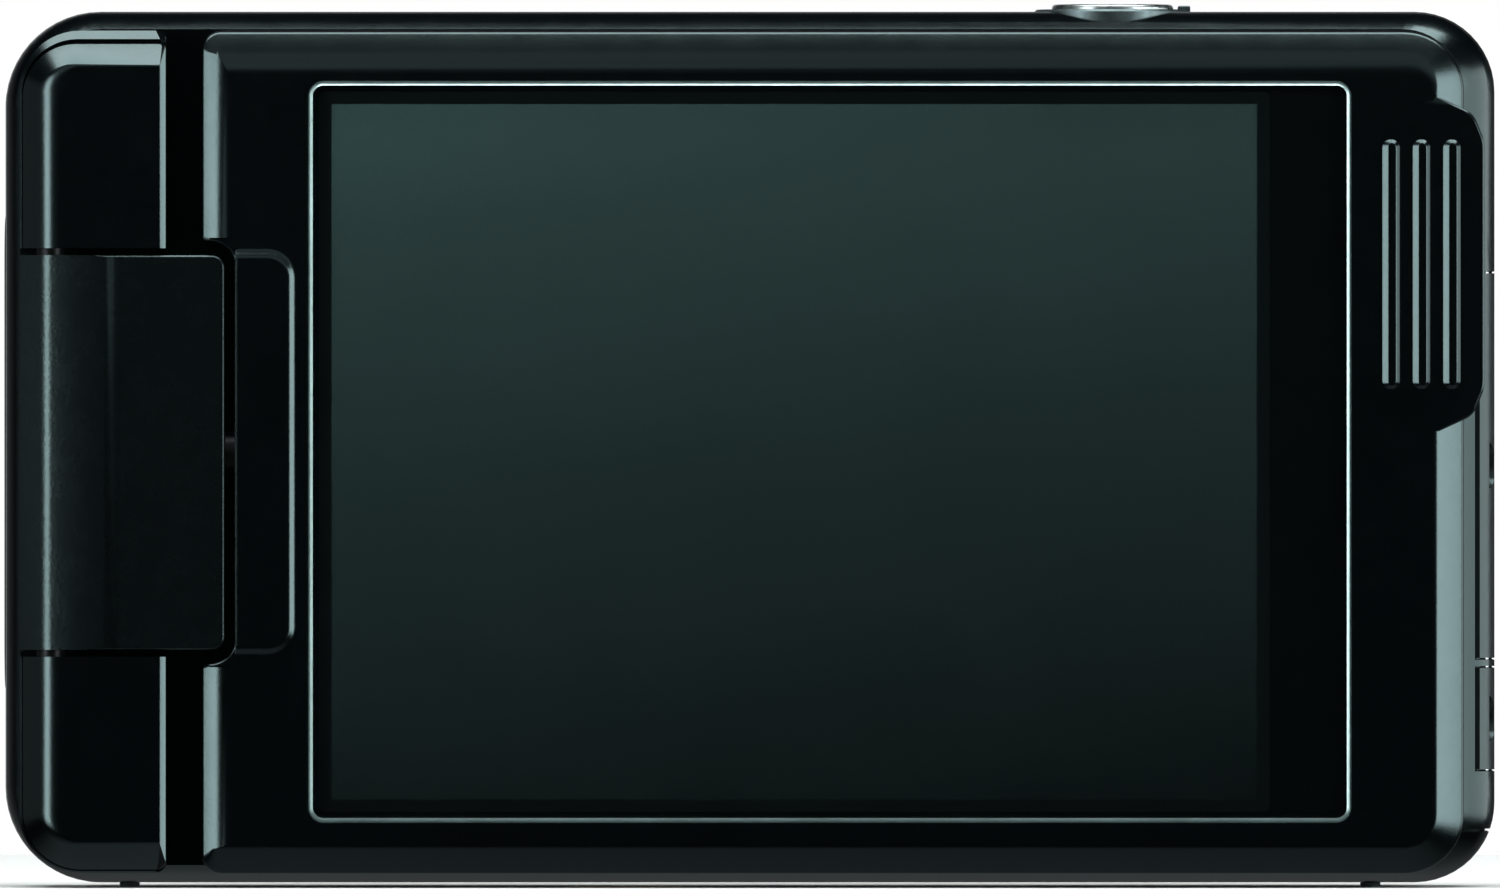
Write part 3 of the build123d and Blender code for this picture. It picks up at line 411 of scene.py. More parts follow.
def machined(name, colour, roughness, streak, metallic=1.0, depth=0.0015 * MM):
    """Worked metal: fine drawn or turned streaks, soft clouds in tone and small scuffs."""
    finish = Finish(name)
    streaks = finish.noise(0.12 * MM, 2.0, 0.5, finish.stretched(streak))
    clouds = finish.noise(3 * MM, 3.0)
    scuffs = finish.noise(0.7 * MM, 5.0, 0.7)
    colour_out = finish.mixed(finish.spread(clouds), shaded(colour, 0.82), shaded(colour, 1.1))
    rough_out = finish.ranged(scuffs, 0.35, 0.7, roughness - 0.06, roughness + 0.1)
    finish.paint(colour_out, rough_out)
    finish.bumped([(streaks, depth), (scuffs, depth)])
    finish.even(Metallic=metallic)
    return finish.material


def polished(name, colour, roughness, alpha=1.0, haze=0.03):
    """Polished or printed gloss: faint haze and dust in the gloss, and a slight unevenness of the surface."""
    finish = Finish(name)
    dust = finish.noise(0.35 * MM, 4.0, 0.7)
    swell = finish.noise(9 * MM, 1.0)
    rough_out = finish.ranged(dust, 0.4, 0.75, roughness, roughness + haze)
    colour_out = finish.mixed(finish.spread(swell), shaded(colour, 0.9), shaded(colour, 1.1))
    finish.paint(colour_out, rough_out)
    finish.bumped([(swell, 0.004 * MM)])
    finish.even(Alpha=alpha, Specular_Tint=COOL)
    return finish.material


def screen_with_painted_reflection(name, colour, box):
    """Unlit display with a painted reflection of a soft light: palest at its upper left and darker down to its
    lower right, under a fine grit.
    """
    low, high = box
    finish = Finish(name)
    parts = finish.node("ShaderNodeSeparateXYZ")
    finish.link(finish.place, parts.inputs[0])
    grit = finish.noise(0.16 * MM, 2.0, 0.6)
    # Painted reflection of a soft light: the tone rises upwards and to the left over the display under any lamps.
    # The grit speckle added on top is the screen's own texture.
    painted_reflection_up = finish.ranged(parts.outputs["Z"], low.z, high.z, 0.0, 0.84)
    painted_reflection_left = finish.ranged(parts.outputs["X"], low.x, high.x, 0.16, 0.0)
    speckle = finish.ranged(grit, 0.0, 1.0, -0.06, 0.06)
    painted_reflection_and_grit = finish.summed(finish.summed(painted_reflection_up, painted_reflection_left), speckle)
    # The ramp turns the painted reflection into tones, from near black up to the screen colour at its palest.
    ramp = finish.node("ShaderNodeValToRGB")
    stops = ((0.0, 0.03), (0.16, 0.11), (0.5, 0.29), (0.84, 0.62), (1.0, 1.0))
    for place, _ in stops[1:-1]:
        ramp.color_ramp.elements.new(place)
    for element, (_, factor) in zip(ramp.color_ramp.elements, stops):
        element.color = (*shaded(colour, factor), 1)
    finish.link(painted_reflection_and_grit, ramp.inputs[0])
    blotch = finish.noise(9 * MM, 2.0)
    finish.paint(ramp.outputs[0], finish.spread(blotch, 0.32, 0.38))
    finish.bumped([(grit, 0.002 * MM)])
    finish.even(Specular_IOR_Level=0.25, Specular_Tint=COOL)
    return finish.material


def board_finish(name, colour):
    """Circuit board: solder mask over a faint mesh of tracks, with weave showing through."""
    finish = Finish(name)
    tracks = finish.cells(1.4 * MM, "DISTANCE_TO_EDGE")
    weave = finish.noise(0.3 * MM, 1.0)
    edge = finish.ranged(tracks, 0.03, 0.06, 1, 0)
    colour_out = finish.mixed(edge, colour, shaded(colour, 1.8))
    finish.paint(colour_out, finish.spread(weave, 0.3, 0.45))
    finish.bumped([(edge, 0.02 * MM), (weave, 0.004 * MM)])
    return finish.material


def make_finishes(colours):
    """One material for each slot of the record, and the few more that the new pieces need."""
    black = tuple(colours.plastic)
    every_way = (1, 1, 1)
    return {
        "shell_plastic": moulded("shell_plastic", shaded(black, 1.2), roughness=0.20, grain=0.14 * MM,
                                 grain_depth=0.004 * MM),
        "panel_plastic": moulded("panel_plastic", black, roughness=0.22, grain=0.14 * MM, grain_depth=0.005 * MM),
        "block_plastic": moulded("block_plastic", shaded(black, 1.3), roughness=0.27, grain=0.18 * MM,
                                 grain_depth=0.008 * MM, lumps=(0.30 * MM, 0.006 * MM)),
        "door_plastic": moulded("door_plastic", tuple(colours.doors), roughness=0.30, grain=0.13 * MM,
                                grain_depth=0.003 * MM),
        "gloss_black": polished("gloss_black", shaded(black, 0.8), roughness=0.12),
        "window_glass": polished("window_glass", (0.004, 0.007, 0.007), roughness=0.04, alpha=0.10),
        "screen": screen_with_painted_reflection("screen", tuple(colours.screen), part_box("lcd_screen")),
        "diffuser": polished("diffuser", (0.82, 0.83, 0.80), roughness=0.35, haze=0.15),
        "steel": machined("steel", (0.52, 0.54, 0.55), roughness=0.26, streak=(1, 1, 0.08)),
        "black_steel": machined("black_steel", (0.035, 0.036, 0.038), roughness=0.42, streak=(1, 1, 0.2)),
        "brass": machined("brass", (0.72, 0.56, 0.28), roughness=0.28, streak=(0.2, 1, 1)),
        "magnesium": machined("magnesium", (0.46, 0.47, 0.48), roughness=0.5, streak=every_way,
                              depth=0.006 * MM),
        "circuit_board": board_finish("circuit_board", (0.02, 0.12, 0.06)),
        "chip": moulded("chip", (0.02, 0.02, 0.022), roughness=0.5, grain=0.08 * MM, grain_depth=0.004 * MM),
        "battery_wrap": moulded("battery_wrap", (0.07, 0.072, 0.078), roughness=0.38, grain=0.2 * MM,
                                grain_depth=0.003 * MM),
        "lens_glass": polished("lens_glass", (0.06, 0.035, 0.09), roughness=0.03, alpha=0.45),
        "dial_metal": machined("dial_metal", tuple(colours.dial), roughness=0.42, streak=(1, 1, 0.1),
                               depth=0.004 * MM),
        "cap_metal": machined("cap_metal", tuple(colours.cap), roughness=0.3, streak=(1, 0.06, 1)),
        "rubber": moulded("rubber", (0.012, 0.012, 0.013), roughness=0.7, grain=0.2 * MM, grain_depth=0.02 * MM),
        "gold": machined("gold", (0.83, 0.62, 0.25), roughness=0.22, streak=(1, 1, 0.3)),
        "blackened": machined("blackened", (0.008, 0.009, 0.010), roughness=0.45, streak=(1, 1, 0.2),
                              metallic=0.6),
        "ground_edge": machined("ground_edge", tuple(colours.glass_edge), roughness=0.42, streak=every_way,
                                metallic=0.9),
        "printed_border": polished("printed_border", shaded(black, 0.45), roughness=0.3),
    }


finishes = {}


def dress(*nodes, finish=None):
    """Gives carried-over nodes the material of their slot in the record, or another one."""
    for name in nodes:
        node = frame["nodes"][name]
        node.data.materials.clear()
        node.data.materials.append(finishes[finish or SLOT_OF[name]])


def body_of(node):
    """Body that a node rides on."""
    return frame["nodes"][node]["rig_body"]


# ---------------------------------------------------------------- sizes and colours
def length(label, note, default):
    """Size in metres, shown as a length."""
    return FloatProperty(name=label, description=note, default=default, unit="LENGTH", subtype="DISTANCE",
                         min=0.0, precision=5)


def tint(label, note, default):
    """Linear colour."""
    return FloatVectorProperty(name=label, description=note, default=default, subtype="COLOR", min=0.0, max=1.0)


class CamcorderSizes(bpy.types.PropertyGroup):
    """Sizes that shape the finer pieces"""

    bevel_top: length("Top bevel", "Width of the display case's upper bevel", 1.9 * MM)
    bevel_side: length("Side bevel", "Width of the display case's right-hand bevel", 1.85 * MM)
    bevel_hinge: length("Hinge bevel", "Width of the display case's bevel beside the hinge", 1.25 * MM)
    bevel_bottom: length("Bottom bevel", "Width of the display case's lower bevel", 1.8 * MM)
    tab_reach: length("Tab reach", "How far the finger tab stands out of the display case", 1.35 * MM)
    panel_corner: length("Case corner", "Radius of the display case's right-hand corners", 3.9 * MM)
    panel_corner_hinge: length("Hinge-side corner", "Radius of its corners beside the hinge", 1.3 * MM)
    pad_rim: length("Pad rim", "Width of the sloping rim of the pad beside the hinge", 0.8 * MM)
    glass_chamfer: length("Glass chamfer", "Width of the window's ground edge", 0.3 * MM)
    cover_bevel: length("Cover bevel", "Width of the hinge covers' outer bevel", 1.75 * MM)
    cover_rim: length("Cover rim", "How far the upper cover's rim stands above it", 0.42 * MM)
    cover_corner: length("Cover corner", "Radius of the hinge covers' outer corner", 4.0 * MM)
    block_crown: length("Block crown", "How far the hinge block's face falls towards its left side", 0.5 * MM)
    edge: length("Edge softening", "Radius left on the other outer edges", 0.12 * MM)


class CamcorderColours(bpy.types.PropertyGroup):
    """Colours of what shows from outside"""

    plastic: tint("Black plastic", "Black mouldings of the casing, display and hinge", (0.00025, 0.0007, 0.0010))
    doors: tint("Doors", "Doors, keys and latch", (0.004, 0.005, 0.0055))
    # The screen colour is the palest tone of the display's painted reflection, at its upper left.
    screen: tint("Screen", "Unlit display where it is palest", (0.036, 0.070, 0.068))
    dial: tint("Dial", "Zoom ring and lens ring", (0.10, 0.13, 0.135))
    cap: tint("Cap", "Shutter button", (0.42, 0.46, 0.46))
    glass_edge: tint("Glass edge", "Ground edge of the window", (0.46, 0.61, 0.60))


# ---------------------------------------------------------------- display
def case_box():
    """Left, right, lower and upper edges of the display case without its tab."""
    low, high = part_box("panel_front")
    return low.x, high.x - bpy.context.scene.camcorder_sizes.tab_reach, low.z, high.z


def case_face():
    """Y of the display case's face, which is level with the window's."""
    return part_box("window_glass")[0].y


def notch_box():
    """Right edge and half height of the display case's notch, and the height of its middle."""
    low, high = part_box("hinge_block_rear")
    side_gap, end_gap = 0.65 * MM, 0.9 * MM
    return high.x + side_gap, (high.z - low.z) / 2 + end_gap, (low.z + high.z) / 2


def grip_middle():
    """Height of the middle of the finger tab and of the ribs."""
    return notch_box()[2] + 12.2 * MM


def screen_opening():
    """Lowest and highest corners of the visible part of the display."""
    low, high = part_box("lcd_screen")
    hidden = Vector((0.7 * MM, 0, 0.7 * MM))
    return low + hidden, high - hidden


class CAMCORDER_OT_display_case(bpy.types.Operator):
    """Front half of the display case, with bevels that differ from side to side round the window's seat"""

    bl_idname = "camcorder.display_case"
    bl_label = "Display Case"

    def execute(self, context):
        sizes = context.scene.camcorder_sizes
        left, right, bottom, top = case_box()
        notch, half, middle = notch_box()
        face = case_face()
        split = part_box("panel_front")[1].y
        glass_low, glass_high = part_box("window_glass")
        mouth_round, notch_round = 0.35 * MM, 1.65 * MM
        case = np.array([
            (left, bottom, sizes.panel_corner_hinge), (right, bottom, sizes.panel_corner),
            (right, top, sizes.panel_corner), (left, top, sizes.panel_corner_hinge),
            (left, middle + half, mouth_round), (notch, middle + half, notch_round),
            (notch, middle - half, notch_round), (left, middle - half, mouth_round),
        ])
        hinge_side = bevel_section(sizes.bevel_hinge, drop=0.6 * MM, outer_round=0.25 * MM, inner_round=2.4 * MM)
        notch_side = bevel_section(sizes.edge, sizes.edge, TIGHT_ROUND, TIGHT_ROUND)
        sections = [
            bevel_section(sizes.bevel_bottom, drop=0.95 * MM, outer_round=0.3 * MM, inner_round=1.0 * MM),
            bevel_section(sizes.bevel_side, drop=0.95 * MM, outer_round=0.35 * MM, inner_round=0.8 * MM),
            bevel_section(sizes.bevel_top, drop=1.0 * MM, outer_round=0.45 * MM, inner_round=3.6 * MM),
            hinge_side, notch_side, notch_side, notch_side, hinge_side,
        ]
        outer = section_rings(case, sections, face)
        outer.append(ring(case, 0.0, split))
        wall, notch_wall = 1.2 * MM, 2.6 * MM
        hollow = box_corners(notch + notch_wall, right - wall, bottom + wall, top - wall,
                             (1.0 * MM, 2.7 * MM, 2.7 * MM, 1.0 * MM))
        seat = framed(glass_low, glass_high, margin=0.05 * MM, radius=GLASS_CORNER)
        sight = framed(*screen_opening(), margin=0.8 * MM, radius=0.4 * MM)
        back = glass_high.y
        ledge = back + 0.6 * MM
        skin = Skin()
        skin.band(outer)
        skin.plate(outer[0], [ring(seat, 0.0, face)])
        skin.band([ring(seat, 0.0, back), ring(seat, 0.0, face)])
        skin.plate(ring(seat, 0.0, back), [ring(sight, 0.0, back)])
        skin.band([ring(sight, 0.0, ledge), ring(sight, 0.0, back)])
        skin.plate(ring(hollow, 0.0, ledge), [ring(sight, 0.0, ledge)], facing=1)
        skin.band([ring(hollow, 0.0, split), ring(hollow, 0.0, ledge)])
        skin.plate(outer[-1], [ring(hollow, 0.0, split)], facing=1)
        piece = skin.piece("display_case", body_of("panel_front"), "panel_plastic", finishes["panel_plastic"])
        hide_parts("panel_front")
        dress("panel_back", "panel_screws", "backlight")
        return {"FINISHED"}


class CAMCORDER_OT_finger_grip(bpy.types.Operator):
    """Finger tab, three ribs and the low pad beside the hinge block"""

    bl_idname = "camcorder.finger_grip"
    bl_label = "Finger Grip"

    def execute(self, context):
        self.add_tab(context.scene.camcorder_sizes)
        self.add_ribs()
        self.add_pad(context.scene.camcorder_sizes)
        return {"FINISHED"}

    def add_tab(self, sizes):
        """Flat plate with swept shoulders: a bevel section carried round its outline."""
        right, face, middle = case_box()[1], case_face(), grip_middle()
        end = right + sizes.tab_reach
        half = 10.95 * MM
        # place across, height from the middle and corner radius, from the root out to the tip
        shoulder = [(end - 5.6 * MM, half, 0.3 * MM), (right - 1.9 * MM, half, 1.0 * MM),
                    (end - 0.75 * MM, half - 1.15 * MM, 1.6 * MM), (end, half - 3.0 * MM, 2.2 * MM)]
        corners = np.array([(x, middle - z, radius) for x, z, radius in shoulder]
                           + [(x, middle + z, radius) for x, z, radius in reversed(shoulder)])
        lip = bevel_section(TIGHT_ROUND, TIGHT_ROUND, TIGHT_ROUND, TIGHT_ROUND)
        fade, blend = (bevel_section(width, drop=0.03 * MM, outer_round=0.01 * MM, inner_round=1.0 * MM)
                       for width in (2.4 * MM, 0.6 * MM))
        proud = 0.012 * MM
        rings = section_rings(corners, [blend] + [lip] * 5 + [blend, fade], face - proud)
        rings.append(ring(corners, 0.0, face + 2.2 * MM))
        skin = Skin()
        skin.solid(rings)
        skin.piece("finger_tab", body_of("panel_front"), "panel_plastic", finishes["panel_plastic"])

    def add_ribs(self):
        """Three ridges: capsule outlines with a bevel section carried round them."""
        right, face, middle = case_box()[1], case_face(), grip_middle()
        width, span, pitch, end_gap = 1.16 * MM, 16.2 * MM, 1.97 * MM, 0.8 * MM
        flank, steepness = 0.42 * MM, np.radians(26)
        height = flank * np.tan(steepness)
        broad, narrow = (bevel_section(share * flank, height, outer_round=0.05 * MM, inner_round=0.15 * MM)
                         for share in (1.0, 0.6))
        skin = Skin()
        for place in range(3):
            x = right - end_gap - (2 - place) * pitch
            corners = box_corners(x - width / 2, x + width / 2, middle - span / 2, middle + span / 2,
                                  width / 2 - SHARP)
            rings = section_rings(corners, [narrow, narrow, narrow, broad], face - height)
            rings.append(ring(corners, 0.0, face + 0.2 * MM))
            skin.solid(rings)
        skin.piece("grip_ribs", body_of("panel_front"), "panel_plastic", finishes["panel_plastic"])

    def add_pad(self, sizes):
        """Low pad: its rim rises as ten shares cubed less fifteen to the fourth plus six to the fifth."""
        face, crest = case_face(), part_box("panel_front")[0].y
        notch, half, middle = notch_box()
        start, reach, end_gap = 0.02 * MM, 4.1 * MM, 0.4 * MM
        corners = box_corners(notch + start, notch + reach, middle - half + end_gap, middle + half - end_gap,
                              (0.3 * MM, 2.0 * MM, 2.0 * MM, 0.3 * MM))
        share = np.linspace(1, 0, RIM_STEPS + 1)
        rise = share ** 3 * (10 - 15 * share + 6 * share * share)
        slim = np.array([1, 1, 1, 0.15]) * sizes.pad_rim
        rings = [ring(corners, slim + HAIR, crest)]
        rings += [ring(corners, slim * part, face + (crest - face) * up) for part, up in zip(share, rise)]
        rings.append(ring(corners, 0.0, face + 0.3 * MM))
        skin = Skin()
        skin.solid(rings)
        skin.piece("hinge_pad", body_of("panel_front"), "panel_plastic", finishes["panel_plastic"])


class CAMCORDER_OT_window(bpy.types.Operator):
    """Window with its ground edge, the black border printed behind it, and the unlit display with its painted
    reflection
    """

    bl_idname = "camcorder.window"
    bl_label = "Window and Display"

    def execute(self, context):
        chamfer = context.scene.camcorder_sizes.glass_chamfer
        low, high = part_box("window_glass")
        pane = framed(low, high, margin=0.0, radius=GLASS_CORNER)
        front = ring(pane, chamfer, low.y)
        rim = ring(pane, 0.0, low.y + 0.7 * chamfer)
        back = ring(pane, 0.0, high.y)
        skin = Skin()
        skin.plate(front)
        skin.band([front, rim], finish=1)
        skin.band([rim, back])
        skin.plate(back, facing=1)
        piece = skin.piece("window_pane", body_of("window_glass"), "window_glass",
                           finishes["window_glass"], finishes["ground_edge"])
        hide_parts("window_glass")
        opening = framed(*screen_opening(), margin=0.0, radius=0.05 * MM)
        edge = 0.06 * MM
        y0, y1 = high.y + 0.01 * MM, high.y + 0.03 * MM
        skin = Skin()
        skin.plate(ring(pane, edge, y0), [ring(opening, 0.0, y0)])
        skin.band([ring(pane, edge, y0), ring(pane, edge, y1)])
        skin.band([ring(opening, 0.0, y1), ring(opening, 0.0, y0)])
        skin.plate(ring(pane, edge, y1), [ring(opening, 0.0, y1)], facing=1)
        skin.piece("screen_border", body_of("window_glass"), "gloss_black", finishes["printed_border"])
        dress("lcd_screen")
        return {"FINISHED"}


# ---------------------------------------------------------------- hinge
class CAMCORDER_OT_hinge(bpy.types.Operator):
    """Hinge covers with broad outer bevels, and the grained block between them"""

    bl_idname = "camcorder.hinge"
    bl_label = "Hinge"

    def execute(self, context):
        sizes = context.scene.camcorder_sizes
        self.add_cover("hinge_cover_upper", 1, sizes)
        self.add_cover("hinge_cover_lower", -1, sizes)
        self.add_block(sizes)
        dress("hinge_block_front", "hinge_frame", "tilt_washers", "hinge_cover_screws")
        dress("hinge_bushes", "swing_shaft", "tilt_shaft", finish="blackened")
        return {"FINISHED"}

    def add_cover(self, node, outward, sizes):
        """Raised cover: broad bevel, groove and lip on its outer sides, and a narrow round beside the display.

        It is made too long by a spare length, which is then cut off flat where the cover meets the block.
        """
        low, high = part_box(node)
        face = case_face()
        bevel = sizes.cover_bevel
        level = lipped_section(0.8 * bevel, 0.8 * bevel, inner_round=0.25 * MM, lip=0.55 * MM, lip_drop=0.55 * MM,
                               groove=0.3 * MM)
        lower = lipped_section(bevel, bevel, inner_round=0.5 * MM, lip=0.1 * MM, lip_drop=0.1 * MM,
                               groove=0.08 * MM)
        side = lipped_section(0.9 * bevel, 0.9 * bevel, inner_round=2.2 * MM, lip=0.2 * MM, lip_drop=0.11 * MM,
                              groove=0.06 * MM)
        soft = lipped_section(0.45 * MM, 0.22 * MM, inner_round=0.3 * MM)
        tight = lipped_section(sizes.edge, sizes.edge, inner_round=TIGHT_ROUND)
        near, far, spare = 0.15 * MM, 0.7 * MM, 3.0 * MM
        if outward > 0:
            corners = box_corners(low.x, high.x, low.z - spare, high.z + sizes.cover_rim,
                                  (near, near, far, sizes.cover_corner))
            end = ((0, 0, low.z), (0, 0, -1))
            sections = [tight, soft, level, side]
        else:
            corners = box_corners(low.x, high.x, low.z, high.z + spare, (sizes.cover_corner, far, near, near))
            end = ((0, 0, high.z), (0, 0, 1))
            sections = [lower, soft, tight, side]
        rings = section_rings(corners, sections, face)
        rings.append(ring(corners, 0.0, high.y))
        skin = Skin()
        skin.solid(rings)
        piece = skin.piece("cover_" + ("upper" if outward > 0 else "lower"), body_of(node), "panel_plastic",
                           finishes["panel_plastic"])
        slice_off(piece, [end])
        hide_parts(node)

    def add_block(self, sizes):
        """Hinge block: its face falls to the left as the square of the share, then a slope and a crisp edge.

        An arc rounds the slope's two ends. The box is cut along this line, one plane for each step of it.
        """
        low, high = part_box("hinge_block_rear")
        corners = box_corners(low.x, high.x, low.z, high.z, (0.1 * MM, 0.85 * MM, 0.85 * MM, 0.1 * MM))
        width, drop, reach, crease = 1.75 * MM, 1.45 * MM, 6.6 * MM, 1.9 * MM
        slope = np.array([-width, drop]) / np.hypot(width, drop)
        tilt = np.arctan(2 * sizes.block_crown / (reach - width))
        lean = np.array([-np.cos(tilt), np.sin(tilt)])
        touch = crease * np.tan((np.arctan2(drop, width) - tilt) / 2)
        start = width + touch * np.cos(tilt)
        fall = np.tan(tilt) * (reach - start) / 2
        knee = fall + touch * np.sin(tilt)
        inner = bend(np.array([width, knee]), lean, slope, crease)
        outer = bend(np.array([0.0, knee + drop]), slope, np.array([0.0, 1.0]), 0.25 * MM)
        share = np.linspace(0, 1, CROWN_STEPS + 1)[:-1]
        crown = np.column_stack([reach + (start - reach) * share, fall * share * share])
        tight = bevel_section(sizes.edge, sizes.edge, TIGHT_ROUND, TIGHT_ROUND)
        rings = section_rings(corners, [tight] * 4, low.y)
        rings.append(ring(corners, 0.0, high.y))
        skin = Skin()
        skin.solid(rings)
        piece = skin.piece("hinge_block", body_of("hinge_block_rear"), "block_plastic", finishes["block_plastic"])
        places = np.vstack([crown, inner, outer]) + (low.x, low.y)
        steps = np.diff(places, axis=0)
        slice_off(piece, [((x, y, 0), (-down, across, 0)) for (x, y), (across, down) in zip(places, steps)
                          if np.hypot(across, down) > WELD])
        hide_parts("hinge_block_rear")


# ---------------------------------------------------------------- carried-over parts
class CAMCORDER_OT_casing(bpy.types.Operator):
    """Casing shells, hinge side plate, strap bar, feet and tripod bush"""

    bl_idname = "camcorder.casing"
    bl_label = "Casing"

    def execute(self, context):
        dress("front_shell", "rear_shell", "hinge_side_plate", "strap_bar", "feet", "case_screws",
              "tripod_bush", "microphones")
        return {"FINISHED"}


class CAMCORDER_OT_doors(bpy.types.Operator):
    """Side doors, battery door, latch, keys and the pins they turn on"""

    bl_idname = "camcorder.doors"
    bl_label = "Doors and Keys"

    def execute(self, context):
        dress("long_door", "small_door", "side_door_pin", "battery_door", "battery_latch", "battery_door_pin",
              "power_button", "playback_button", "lamp_button")
        return {"FINISHED"}


class CAMCORDER_OT_dial(bpy.types.Operator):
    """Zoom ring, shutter button and the cup they sit in"""

    bl_idname = "camcorder.dial"
    bl_label = "Zoom Dial"

    def execute(self, context):
        dress("zoom_ring", "shutter_button", "dial_cup", "zoom_spring", "shutter_switch")
        return {"FINISHED"}


class CAMCORDER_OT_lens(bpy.types.Operator):
    """Lens, its ring and elements, the image sensor and the lamp"""

    bl_idname = "camcorder.lens"
    bl_label = "Lens and Lamp"

    def execute(self, context):
        dress("lens_ring", "front_glass", "lens_barrel", "lens_elements", "image_sensor", "sensor_board",
              "lamp_window", "lamp_led")
        return {"FINISHED"}


class CAMCORDER_OT_inner_parts(bpy.types.Operator):
    """Chassis, boards, sockets, speaker, battery and its tray"""

    bl_idname = "camcorder.inner_parts"
    bl_label = "Inner Parts"

    def execute(self, context):
        dress("chassis", "main_board", "board_chips", "board_screws", "button_board", "side_board",
              "video_socket", "data_socket", "power_socket", "speaker", "battery", "battery_tray",
              "battery_contacts")
        return {"FINISHED"}


# ---------------------------------------------------------------- stage
STAGE_MIDDLE = (0.0, 0.0, 0.03)
LIGHTS = (
    # name, place, width and height, power
    ("light_above", (0.0, -0.08, 0.62), (0.9, 0.32), 7.0),
    ("light_above_front", (0.0, -0.52, 0.37), (0.9, 0.36), 0.45),
    ("light_left", (-0.42, -0.36, 0.06), (0.17, 0.36), 1.65),
    ("light_left_side", (-0.62, 0.0, 0.06), (0.5, 0.36), 0.09),
    ("light_right", (0.46, -0.34, 0.06), (0.2, 0.36), 1.85),
    ("light_right_side", (0.62, 0.0, 0.06), (0.63, 0.36), 2.0),
    ("light_behind", (0.0, 0.7, 0.10), (0.6, 0.45), 0.3),
)


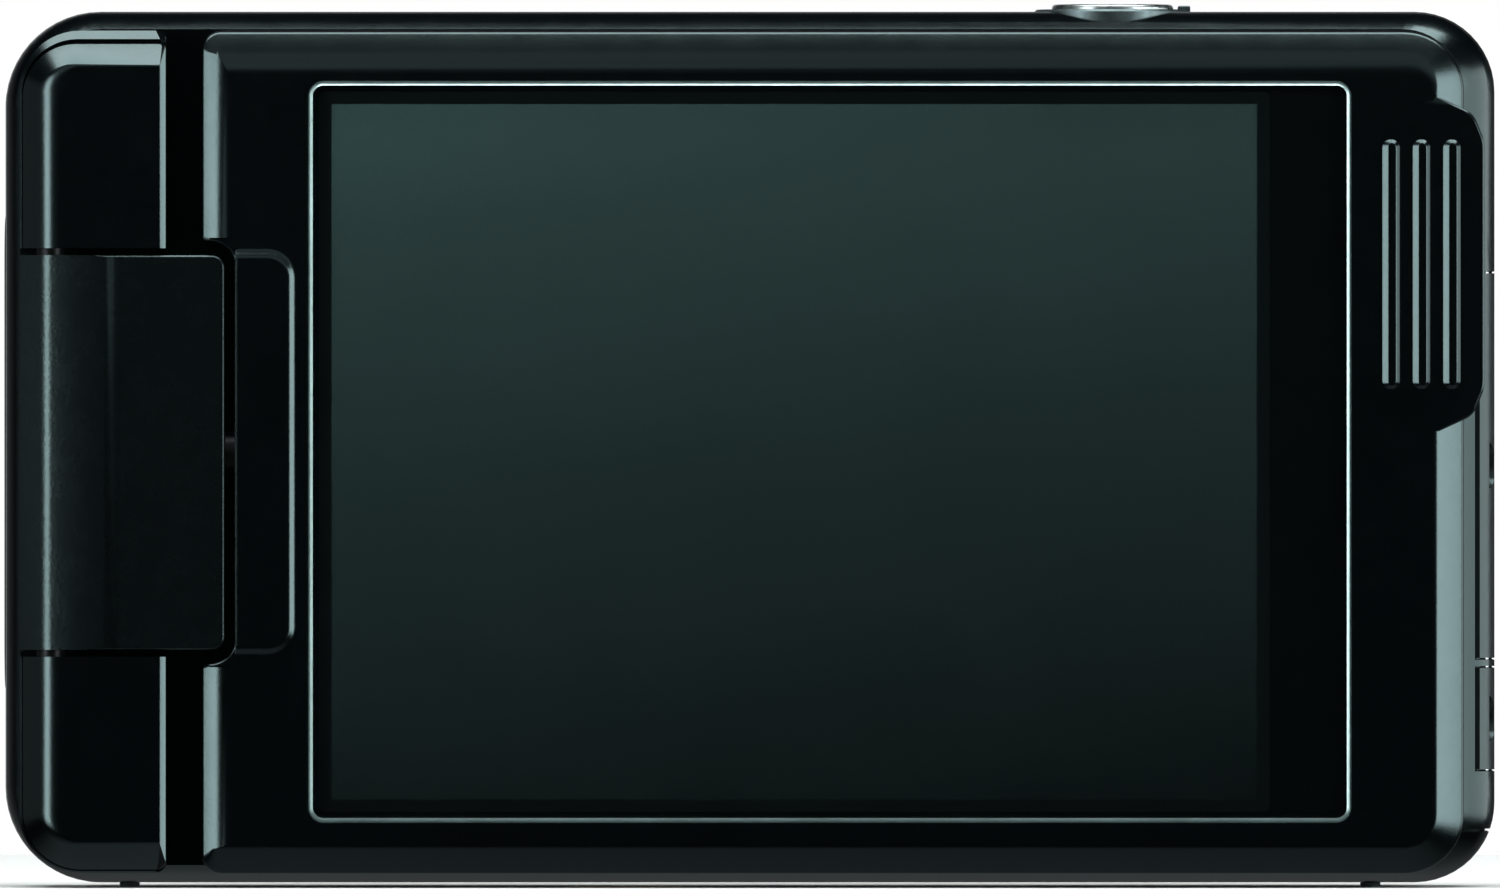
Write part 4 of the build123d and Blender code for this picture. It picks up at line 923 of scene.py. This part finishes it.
class CAMCORDER_OT_stage(bpy.types.Operator):
    """Pale floor, soft studio lights and the camera straight behind the display"""

    bl_idname = "camcorder.stage"
    bl_label = "Stage"

    def execute(self, context):
        self.add_floor()
        self.add_world(context.scene)
        for light in LIGHTS:
            self.add_light(*light)
        self.add_camera(context.scene)
        context.scene.view_settings.view_transform = "Standard"
        return {"FINISHED"}

    def add_floor(self):
        """Disc: rings of growing radius round the object's foot."""
        sides = 96
        angles = np.linspace(0, 2 * np.pi, sides, endpoint=False)
        rings = [np.column_stack([radius * np.cos(angles), radius * np.sin(angles), np.zeros(sides)])
                 for radius in (0.05, 0.12, 0.2)]
        skin = Skin()
        skin.band(rings)
        skin.add(rings[0], [list(range(sides))])
        mesh = bpy.data.meshes.new("floor")
        mesh.from_pydata(np.vstack(skin.points).tolist(), [], skin.faces)
        floor = bpy.data.objects.new("floor", mesh)
        bpy.context.scene.collection.objects.link(floor)
        finish = Finish("floor_paper")
        fibre = finish.noise(1.2 * MM, 3.0)
        finish.paint(finish.mixed(finish.spread(fibre), (0.80, 0.80, 0.79), (0.85, 0.85, 0.84)), roughness=0.7)
        finish.bumped([(fibre, 0.02 * MM)])
        mesh.materials.append(finish.material)
        floor.visible_glossy = False

    def add_world(self, scene):
        """White to the camera. To the object it is a dark room, paler at the table below and low behind."""
        world = bpy.data.worlds.new("studio")
        world.use_nodes = True
        nodes = Nodes(world.node_tree)
        nodes.tree.nodes.clear()
        seen = nodes.node("ShaderNodeBackground")
        seen.inputs["Color"].default_value = (1, 1, 1, 1)
        room = nodes.node("ShaderNodeBackground")
        room.inputs["Color"].default_value = (0.95, 0.98, 1.0, 1)
        direction = nodes.node("ShaderNodeTexCoord").outputs["Generated"]
        parts = nodes.node("ShaderNodeSeparateXYZ")
        nodes.link(direction, parts.inputs[0])
        below = nodes.ranged(parts.outputs["Z"], -0.9, -0.5, 0.28, 0.008)
        toward = nodes.node("ShaderNodeVectorMath", operation="DOT_PRODUCT")
        toward.inputs[1].default_value = (0.0, 0.9, -0.44)
        nodes.link(direction, toward.inputs[0])
        behind = nodes.ranged(toward.outputs["Value"], 0.45, 0.85, 0.0, 0.12)
        nodes.link(nodes.summed(below, behind), room.inputs["Strength"])
        by_camera = nodes.node("ShaderNodeLightPath").outputs["Is Camera Ray"]
        mix = nodes.node("ShaderNodeMixShader")
        for source, target in zip((by_camera, room.outputs[0], seen.outputs[0]), mix.inputs):
            nodes.link(source, target)
        nodes.link(mix.outputs[0], nodes.node("ShaderNodeOutputWorld").inputs["Surface"])
        scene.world = world

    def add_light(self, name, place, size, power):
        """Soft box that faces the middle of the stage."""
        lamp = bpy.data.lights.new(name, "AREA")
        lamp.shape = "RECTANGLE"
        lamp.size, lamp.size_y = size
        lamp.energy = power
        lamp.color = (0.95, 1.0, 1.0)
        light = bpy.data.objects.new(name, lamp)
        bpy.context.scene.collection.objects.link(light)
        light.visible_camera = False
        light.location = place
        light.rotation_euler = (Vector(STAGE_MIDDLE) - Vector(place)).to_track_quat("-Z", "Y").to_euler()

    def add_camera(self, scene):
        """Long lens level with the middle of the casing."""
        field, distance, height = 97.25 * MM, 2.5, 28.67 * MM
        lens = bpy.data.cameras.new("camera")
        lens.sensor_width = 36.0
        lens.lens = lens.sensor_width * distance / field
        camera = bpy.data.objects.new("camera", lens)
        scene.collection.objects.link(camera)
        place = Matrix.Translation((0.0, case_face() - distance, height))
        camera.matrix_world = place @ Matrix.Rotation(np.pi / 2, 4, "X")
        scene.camera = camera


# ---------------------------------------------------------------- panel and registration
OPERATORS = (
    CAMCORDER_OT_display_case, CAMCORDER_OT_finger_grip, CAMCORDER_OT_window, CAMCORDER_OT_hinge,
    CAMCORDER_OT_casing, CAMCORDER_OT_doors, CAMCORDER_OT_dial, CAMCORDER_OT_lens, CAMCORDER_OT_inner_parts,
    CAMCORDER_OT_stage,
)


class CAMCORDER_PT_sidebar(bpy.types.Panel):
    bl_label = "Camcorder"
    bl_idname = "CAMCORDER_PT_sidebar"
    bl_space_type = "VIEW_3D"
    bl_region_type = "UI"
    bl_category = "Camcorder"

    def draw(self, context):
        column = self.layout.column()
        for operator in OPERATORS:
            column.operator(operator.bl_idname)
        for group in (context.scene.camcorder_sizes, context.scene.camcorder_colours):
            box = self.layout.box()
            for key in group.__annotations__:
                box.prop(group, key)


CLASSES = (CamcorderSizes, CamcorderColours, *OPERATORS, CAMCORDER_PT_sidebar)


def register():
    for entry in CLASSES:
        bpy.utils.register_class(entry)
    bpy.types.Scene.camcorder_sizes = PointerProperty(type=CamcorderSizes)
    bpy.types.Scene.camcorder_colours = PointerProperty(type=CamcorderColours)


def unregister():
    del bpy.types.Scene.camcorder_colours
    del bpy.types.Scene.camcorder_sizes
    for entry in reversed(CLASSES):
        bpy.utils.unregister_class(entry)


def main():
    """Builds every piece and the stage."""
    register()
    finishes.update(make_finishes(bpy.context.scene.camcorder_colours))
    for operator in OPERATORS:
        group, name = operator.bl_idname.split(".")
        getattr(getattr(bpy.ops, group), name)()


if __name__ == "__main__":
    main()
